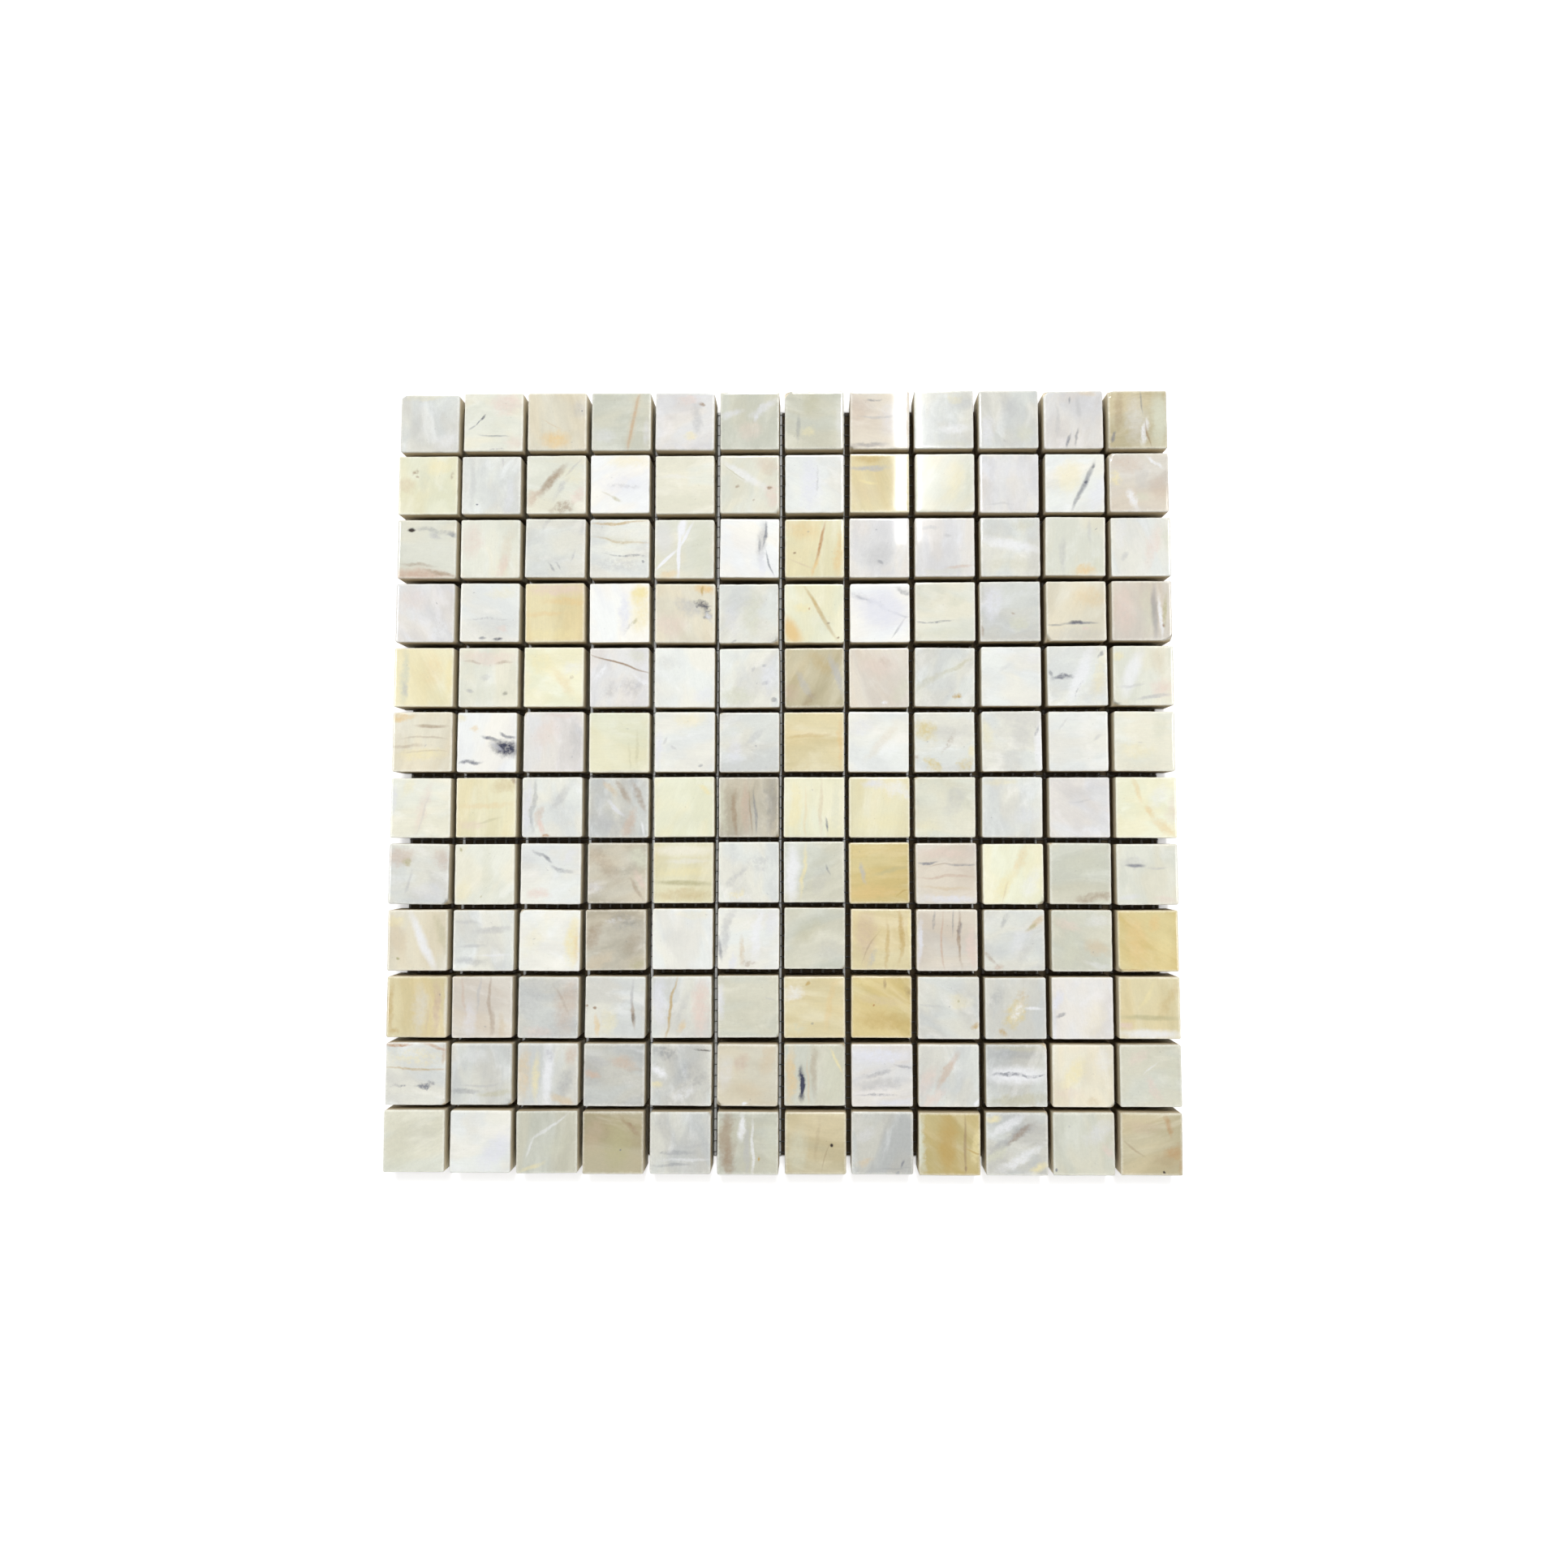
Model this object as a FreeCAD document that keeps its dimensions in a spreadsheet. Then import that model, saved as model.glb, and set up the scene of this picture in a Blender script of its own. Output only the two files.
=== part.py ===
"""A mosaic sheet of square marble chips on a glass-fibre net.

Every chip is a solid block with eased corners and an eased top arris. The chips stand in
straight rows, a joint apart both ways, on an open leno-woven net: flat weft rovings run front
to back, and each warp end that runs left to right is a pair of thin strands that holds the
rovings between them, one strand under and one over. The chips' backs lie on the upper strands.
The net stops short of the outer chips' faces, and its yarns end in short stubs past the last
crossing.

Millimetres. The origin is the middle of the underside, +Z is the polished face, and row 1
stands at the far end, +Y.
"""

import FreeCAD, Part
import os
import Sketcher

SIZES = [
    ("chip_side", 23.4, "side of a chip's polished face"),
    ("chip_thickness", 9.5, "sawn back to polished face"),
    ("chips_across", 12, "chips in a row"),
    ("chip_rows", 12, "rows in the sheet"),
    ("joint_width", 2.0, "gap between two chips"),
    ("corner_ease", 0.5, "worn upright corners of a chip"),
    ("arris_ease", 0.35, "worn edge round the polished face"),
    ("net_margin", 3.0, "outer chip face to the cut end of the net"),
    ("weft_pitch", 4.2, "spacing of the weft rovings"),
    ("weft_width", 1.15, "width of a flat weft roving"),
    ("weft_thickness", 0.25, "height of a weft roving"),
    ("warp_pitch", 4.2, "spacing of the warp pairs"),
    ("warp_width", 0.45, "width of a warp strand"),
    ("warp_thickness", 0.125, "height of a warp strand"),
]

# Each layer of the net is written as this many pieces, side by side.
NET_BANDS = 6

# A sketch is drawn this large, and its constraints then give it its real size.
ROUGH_SIDE = 10.0

# Lengths and counts that follow from the sizes above.
CHIP_STEP = "(sizes.chip_side + sizes.joint_width)"
SHEET_WIDTH = f"(sizes.chips_across * {CHIP_STEP} - sizes.joint_width)"
SHEET_DEPTH = f"(sizes.chip_rows * {CHIP_STEP} - sizes.joint_width)"
NET_WIDTH = f"({SHEET_WIDTH} - 2 * sizes.net_margin)"
NET_DEPTH = f"({SHEET_DEPTH} - 2 * sizes.net_margin)"
WEFT_COUNT = f"(floor(({NET_WIDTH} - sizes.weft_width) / sizes.weft_pitch) + 1)"
WARP_COUNT = f"(floor(({NET_DEPTH} - sizes.warp_width) / sizes.warp_pitch) + 1)"
NET_HEIGHT = "(2 * sizes.warp_thickness + sizes.weft_thickness)"


doc = FreeCAD.newDocument("mosaic_sheet")


def make_sheet_of_sizes():
    """Put the driving sizes in a spreadsheet: name, value and what it is."""
    cells = doc.addObject("Spreadsheet::Sheet", "sizes")
    for line, (name, value, meaning) in enumerate(SIZES, 1):
        cells.set(f"A{line}", name)
        cells.set(f"B{line}", str(value))
        cells.set(f"C{line}", meaning)
        cells.setAlias(f"B{line}", name)
    doc.recompute()
    return cells


def origin_feature(body, role):
    """The body's own origin plane or axis with this role."""
    return next(part for part in body.Origin.OriginFeatures if part.Role == role)


def centred_rectangle(body, name, along_x, along_y):
    """A fully constrained rectangle about the body's origin, sized by two expressions."""
    sketch = body.newObject("Sketcher::SketchObject", name)
    sketch.AttachmentSupport = (origin_feature(body, "XY_Plane"), [""])
    sketch.MapMode = "FlatFace"
    rough = [(-1, -1), (1, -1), (1, 1), (-1, 1)]
    corners = [FreeCAD.Vector(x, y, 0) * (ROUGH_SIDE / 2) for x, y in rough]
    for side in range(4):
        sketch.addGeometry(Part.LineSegment(corners[side], corners[(side + 1) % 4]), False)
    for side in range(4):
        sketch.addConstraint(Sketcher.Constraint("Coincident", side, 2, (side + 1) % 4, 1))
    for side, direction in enumerate(["Horizontal", "Vertical", "Horizontal", "Vertical"]):
        sketch.addConstraint(Sketcher.Constraint(direction, side))
    sketch.addConstraint(Sketcher.Constraint("Symmetric", 0, 1, 1, 2, -1, 1))
    width = sketch.addConstraint(Sketcher.Constraint("DistanceX", 0, 1, 0, 2, ROUGH_SIDE))
    depth = sketch.addConstraint(Sketcher.Constraint("DistanceY", 1, 1, 1, 2, ROUGH_SIDE))
    sketch.setExpression(f"Constraints[{width}]", along_x)
    sketch.setExpression(f"Constraints[{depth}]", along_y)
    return sketch


def block(body, along_x, along_y, height):
    """Pad a centred rectangle upwards from the body's origin."""
    pad = body.newObject("PartDesign::Pad", f"{body.Name}_block")
    pad.Profile = centred_rectangle(body, f"{body.Name}_outline", along_x, along_y)
    pad.setExpression("Length", height)
    doc.recompute()
    return pad


def chamfer(body, name, base, picks, size):
    """Ease the edges of the base that the test picks."""
    edges = [f"Edge{n}" for n, edge in enumerate(base.Shape.Edges, 1) if picks(edge)]
    cut = body.newObject("PartDesign::Chamfer", f"{body.Name}_{name}")
    cut.Base = (base, edges)
    cut.setExpression("Size", size)
    doc.recompute()
    return cut


def repeat(body, name, axis, step, count):
    """Copy the whole body's shape in a straight line."""
    pattern = body.newObject("PartDesign::LinearPattern", f"{body.Name}_{name}")
    pattern.TransformMode = "Whole shape"
    pattern.Direction = (origin_feature(body, axis), [""])
    pattern.Mode = "Spacing"
    pattern.setExpression("Offset", step)
    pattern.setExpression("Occurrences", count)
    body.Tip = pattern


def place(body, x, y, z):
    """Bind the body's place to the sizes."""
    for axis, value in zip("xyz", (x, y, z)):
        body.setExpression(f"Placement.Base.{axis}", value)


def is_upright(edge):
    return edge.BoundBox.ZLength > edge.BoundBox.DiagonalLength / 2


def chip_row(number):
    """One row of chips, number 1 at the far end, standing on the net."""
    body = doc.addObject("PartDesign::Body", f"chip_row_{number:02d}")
    chip = block(body, "sizes.chip_side", "sizes.chip_side", "sizes.chip_thickness")
    worn = chamfer(body, "corners", chip, is_upright, "sizes.corner_ease")
    top = worn.Shape.BoundBox.ZMax

    def is_round_the_top(edge):
        return abs(edge.BoundBox.ZMin - top) < Part.Precision.confusion()

    chamfer(body, "arris", worn, is_round_the_top, "sizes.arris_ease")
    repeat(body, "row", "X_Axis", CHIP_STEP, "sizes.chips_across")
    place(
        body,
        f"-(sizes.chips_across - 1) / 2 * {CHIP_STEP}",
        f"((sizes.chip_rows + 1) / 2 - {number}) * {CHIP_STEP}",
        NET_HEIGHT,
    )
    return body


def band_share(count, number):
    """The first yarn of a band, counted from zero, and how many yarns the band has."""
    first = f"floor({count} * {number - 1} / {NET_BANDS})"
    after = f"floor({count} * {number} / {NET_BANDS})"
    return first, f"({after} - {first})"


def weft_band(number):
    """One strip of flat rovings, which run front to back between the warp strands."""
    body = doc.addObject("PartDesign::Body", f"net_weft_{number:02d}")
    block(body, "sizes.weft_width", NET_DEPTH, "sizes.weft_thickness")
    first, yarns = band_share(WEFT_COUNT, number)
    repeat(body, "band", "X_Axis", "sizes.weft_pitch", yarns)
    left = f"({first} - ({WEFT_COUNT} - 1) / 2) * sizes.weft_pitch"
    place(body, left, "0", "sizes.warp_thickness")
    return body


def warp_band(number):
    """One strip of warp pairs: one strand under the rovings and one over them."""
    body = doc.addObject("PartDesign::Body", f"net_warp_{number:02d}")
    block(body, NET_WIDTH, "sizes.warp_width", "sizes.warp_thickness")
    first, yarns = band_share(WARP_COUNT, number)
    repeat(body, "band", "Y_Axis", "sizes.warp_pitch", yarns)
    repeat(body, "pairs", "Z_Axis", "sizes.warp_thickness + sizes.weft_thickness", "2")
    place(body, "0", f"({first} - ({WARP_COUNT} - 1) / 2) * sizes.warp_pitch", "0")
    return body


def check(pieces):
    """Stop before anything is written if an object failed or a piece isn't whole."""
    for item in doc.Objects:
        if "Invalid" in item.State or "Error" in item.State:
            raise RuntimeError(f"{item.Name} failed: {item.State}")
    for piece in pieces:
        if piece.Shape.isNull() or not piece.Shape.isValid():
            raise RuntimeError(f"{piece.Name} has no valid shape")


def main():
    sizes = make_sheet_of_sizes()
    pieces = [chip_row(number) for number in range(1, int(sizes.chip_rows) + 1)]
    pieces += [warp_band(number) for number in range(1, NET_BANDS + 1)]
    pieces += [weft_band(number) for number in range(1, NET_BANDS + 1)]
    for piece in pieces:
        piece.Label = piece.Name
    doc.recompute()
    check(pieces)
    os.makedirs("parts", exist_ok=True)
    for piece in pieces:
        piece.Shape.exportStep(f"parts/{piece.Label}.step")
        print(piece.Label, len(piece.Shape.Solids), "solids")


main()
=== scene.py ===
import math
import random

import bmesh
import bpy
from mathutils import Matrix, Vector, noise


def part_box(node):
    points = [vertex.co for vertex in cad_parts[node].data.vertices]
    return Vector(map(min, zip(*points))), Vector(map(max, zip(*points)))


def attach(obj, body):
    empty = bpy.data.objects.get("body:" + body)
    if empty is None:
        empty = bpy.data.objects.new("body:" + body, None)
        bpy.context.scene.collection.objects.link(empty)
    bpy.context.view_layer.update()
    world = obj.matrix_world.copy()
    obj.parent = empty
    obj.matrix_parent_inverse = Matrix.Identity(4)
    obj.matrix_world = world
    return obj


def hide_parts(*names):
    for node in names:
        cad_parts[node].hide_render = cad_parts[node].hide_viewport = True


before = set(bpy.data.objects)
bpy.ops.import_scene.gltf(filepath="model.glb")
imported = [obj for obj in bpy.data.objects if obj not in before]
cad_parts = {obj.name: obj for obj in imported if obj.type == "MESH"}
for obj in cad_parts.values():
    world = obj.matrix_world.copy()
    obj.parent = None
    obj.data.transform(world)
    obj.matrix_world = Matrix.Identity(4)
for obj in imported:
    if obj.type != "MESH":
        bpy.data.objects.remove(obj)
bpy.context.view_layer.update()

MM = 0.001

# The sheet's plan, read from the frame.
ROW_NODES = sorted(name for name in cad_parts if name.startswith("chip_row_"))
ROVING_NODES = sorted(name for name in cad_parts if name.startswith("net_weft_"))
PAIR_NODES = sorted(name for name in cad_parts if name.startswith("net_warp_"))
CHIPS = len(ROW_NODES)
ROW_LOW, ROW_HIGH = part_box(ROW_NODES[0])
CHIP_SIDE = ROW_HIGH[1] - ROW_LOW[1]
JOINT = (ROW_HIGH[0] - ROW_LOW[0] - CHIPS * CHIP_SIDE) / (CHIPS - 1)
STEP = CHIP_SIDE + JOINT
BACK = ROW_LOW[2]
FACE = ROW_HIGH[2]


def row_middle(row):
    """The y of a row's middle; row 1 is the far one."""
    low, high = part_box(ROW_NODES[row - 1])
    return (low[1] + high[1]) / 2


def column_middle(column):
    """The x of a column's middle; column 1 is the left one."""
    return (column - (CHIPS + 1) / 2) * STEP


def tone(red, green, blue):
    """A colour as it is seen, 0 to 255 a channel, made linear."""
    def linear(level):
        share = level / 255
        return share / 12.92 if share <= 0.04045 else ((share + 0.055) / 1.055) ** 2.4

    return (linear(red), linear(green), linear(blue), 1.0)


# Shader building.

def both_ways(operation):
    """An operator of Wire, and its form for a wire on the right of a number."""
    def plain(wire, other):
        return wire.math(operation, wire, other)

    def reflected(wire, other):
        return wire.math(operation, other, wire)

    return plain, reflected


class Wire:
    """A shader socket. + - * and / with other wires or numbers add Math nodes."""

    def __init__(self, socket):
        self.socket = socket

    def math(self, operation, *values, clamp=False):
        node = self.socket.id_data.nodes.new("ShaderNodeMath")
        node.operation = operation
        node.use_clamp = clamp
        for slot, value in zip(node.inputs, values):
            connect(slot, value)
        return Wire(node.outputs[0])

    __add__, __radd__ = both_ways("ADD")
    __sub__, __rsub__ = both_ways("SUBTRACT")
    __mul__, __rmul__ = both_ways("MULTIPLY")
    __truediv__, __rtruediv__ = both_ways("DIVIDE")

    def at_most(self, limit):
        return self.math("MINIMUM", self, limit)

    def at_least(self, limit):
        return self.math("MAXIMUM", self, limit)

    def clamped(self):
        return self.math("ADD", self, 0.0, clamp=True)


def connect(slot, value):
    """Link a wire to an input, or set the input to a plain value."""
    if isinstance(value, Wire):
        slot.id_data.links.new(value.socket, slot)
    else:
        slot.default_value = value


class Finish:
    """A material under construction, ending in one Principled shader."""

    def __init__(self, name):
        self.material = bpy.data.materials.new(name)
        self.material.use_nodes = True
        self.tree = self.material.node_tree
        self.surface = self.tree.nodes["Principled BSDF"]

    def node(self, kind, settings=None, inputs=None, output=0):
        """Add a node: its settings first, then its inputs by name or number."""
        node = self.tree.nodes.new(kind)
        for name, value in (settings or {}).items():
            setattr(node, name, value)
        for name, value in (inputs or {}).items():
            connect(node.inputs[name], value)
        return Wire(node.outputs[output])

    def attribute(self, name, output="Vector"):
        return self.node("ShaderNodeAttribute", {"attribute_name": name}, output=output)

    def parts(self, vector):
        """The x, y and z of a vector."""
        split = self.tree.nodes.new("ShaderNodeSeparateXYZ")
        connect(split.inputs[0], vector)
        return [Wire(out) for out in split.outputs]

    def vector(self, operation, *values):
        node = self.tree.nodes.new("ShaderNodeVectorMath")
        node.operation = operation
        for slot, value in zip(node.inputs, values):
            connect(slot, value)
        return Wire(node.outputs["Value" if operation == "LENGTH" else "Vector"])

    def scaled(self, vector, factor):
        values = {0: vector, "Scale": factor}
        return self.node("ShaderNodeVectorMath", {"operation": "SCALE"}, values)

    def noise(self, vector, scale, detail, roughness=0.5, output="Fac"):
        values = {"Vector": vector, "Scale": scale, "Detail": detail, "Roughness": roughness}
        return self.node("ShaderNodeTexNoise", inputs=values, output=output)

    def steps(self, value, low, high):
        """0 at the first limit, 1 at the second, and smooth between."""
        settings = {"interpolation_type": "SMOOTHSTEP"}
        values = {"Value": value, "From Min": low, "From Max": high}
        return self.node("ShaderNodeMapRange", settings, values)

    def mix(self, share, first, second, blend="MIX"):
        settings = {"data_type": "RGBA", "blend_type": blend}
        return self.node("ShaderNodeMix", settings, {0: share, 6: first, 7: second}, output=2)

    def bump(self, height, distance, strength):
        values = {"Height": height, "Distance": distance, "Strength": strength}
        self.set("Normal", self.node("ShaderNodeBump", inputs=values))

    def set(self, name, value):
        connect(self.surface.inputs[name], value)


# Stones: the colour of the body, of its soft clouds and of its pale wisps, and how it is figured:
# how cloudy, how far the figure is drawn out along the bed, and how coarse the grain shows.
STONES = {
    "white": ((250, 250, 245), (238, 238, 238), (255, 255, 252), 0.6, 1.8, 0.4),
    "pearl": ((240, 241, 234), (227, 228, 224), (250, 250, 247), 0.7, 1.8, 0.6),
    "grey": ((227, 228, 220), (210, 211, 207), (241, 242, 239), 0.8, 1.6, 0.9),
    "ash": ((214, 215, 208), (192, 193, 190), (232, 233, 231), 0.8, 1.8, 1.3),
    "lilac": ((231, 229, 225), (214, 212, 212), (242, 241, 243), 0.7, 1.7, 0.7),
    "ivory": ((237, 236, 221), (223, 223, 208), (247, 247, 238), 0.7, 1.7, 0.6),
    "lemon": ((241, 240, 215), (230, 228, 198), (248, 248, 232), 0.7, 1.7, 0.5),
    "buff": ((231, 225, 205), (216, 208, 186), (242, 238, 224), 0.7, 2.4, 0.7),
    "straw": ((238, 232, 199), (226, 217, 178), (246, 242, 220), 0.7, 3.0, 0.6),
    "honey": ((229, 217, 177), (213, 198, 153), (239, 231, 203), 0.7, 3.0, 0.7),
    "gold": ((222, 206, 153), (204, 184, 124), (234, 221, 180), 0.7, 3.0, 0.7),
    "tan": ((208, 198, 167), (186, 175, 142), (222, 215, 190), 0.8, 3.0, 0.8),
    "taupe": ((207, 201, 184), (183, 176, 158), (222, 218, 206), 0.9, 2.0, 1.2),
    "blush": ((226, 219, 206), (211, 201, 188), (238, 233, 224), 0.7, 2.5, 0.7),
    "sage": ((218, 218, 203), (203, 203, 187), (233, 233, 221), 0.7, 2.2, 0.9),
}

# How much one shade lightens a stone.
SHADE_STEP = 0.05

# Tints of veins, clouds and stains.
TINTS = {
    "ink": (70, 72, 90),
    "soot": (66, 58, 52),
    "lead": (126, 128, 138),
    "fog": (188, 188, 188),
    "milk": (240, 241, 243),
    "haze": (228, 229, 236),
    "mist": (222, 222, 220),
    "bone": (242, 239, 224),
    "rust": (188, 140, 92),
    "bark": (158, 132, 106),
    "clay": (205, 182, 163),
    "fawn": (214, 197, 168),
    "rose": (229, 208, 197),
    "sand": (229, 198, 140),
    "dun": (192, 161, 96),
    "gilt": (216, 200, 140),
    "wax": (240, 228, 176),
    "drab": (186, 181, 142),
    "moss": (213, 214, 194),
}

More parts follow.
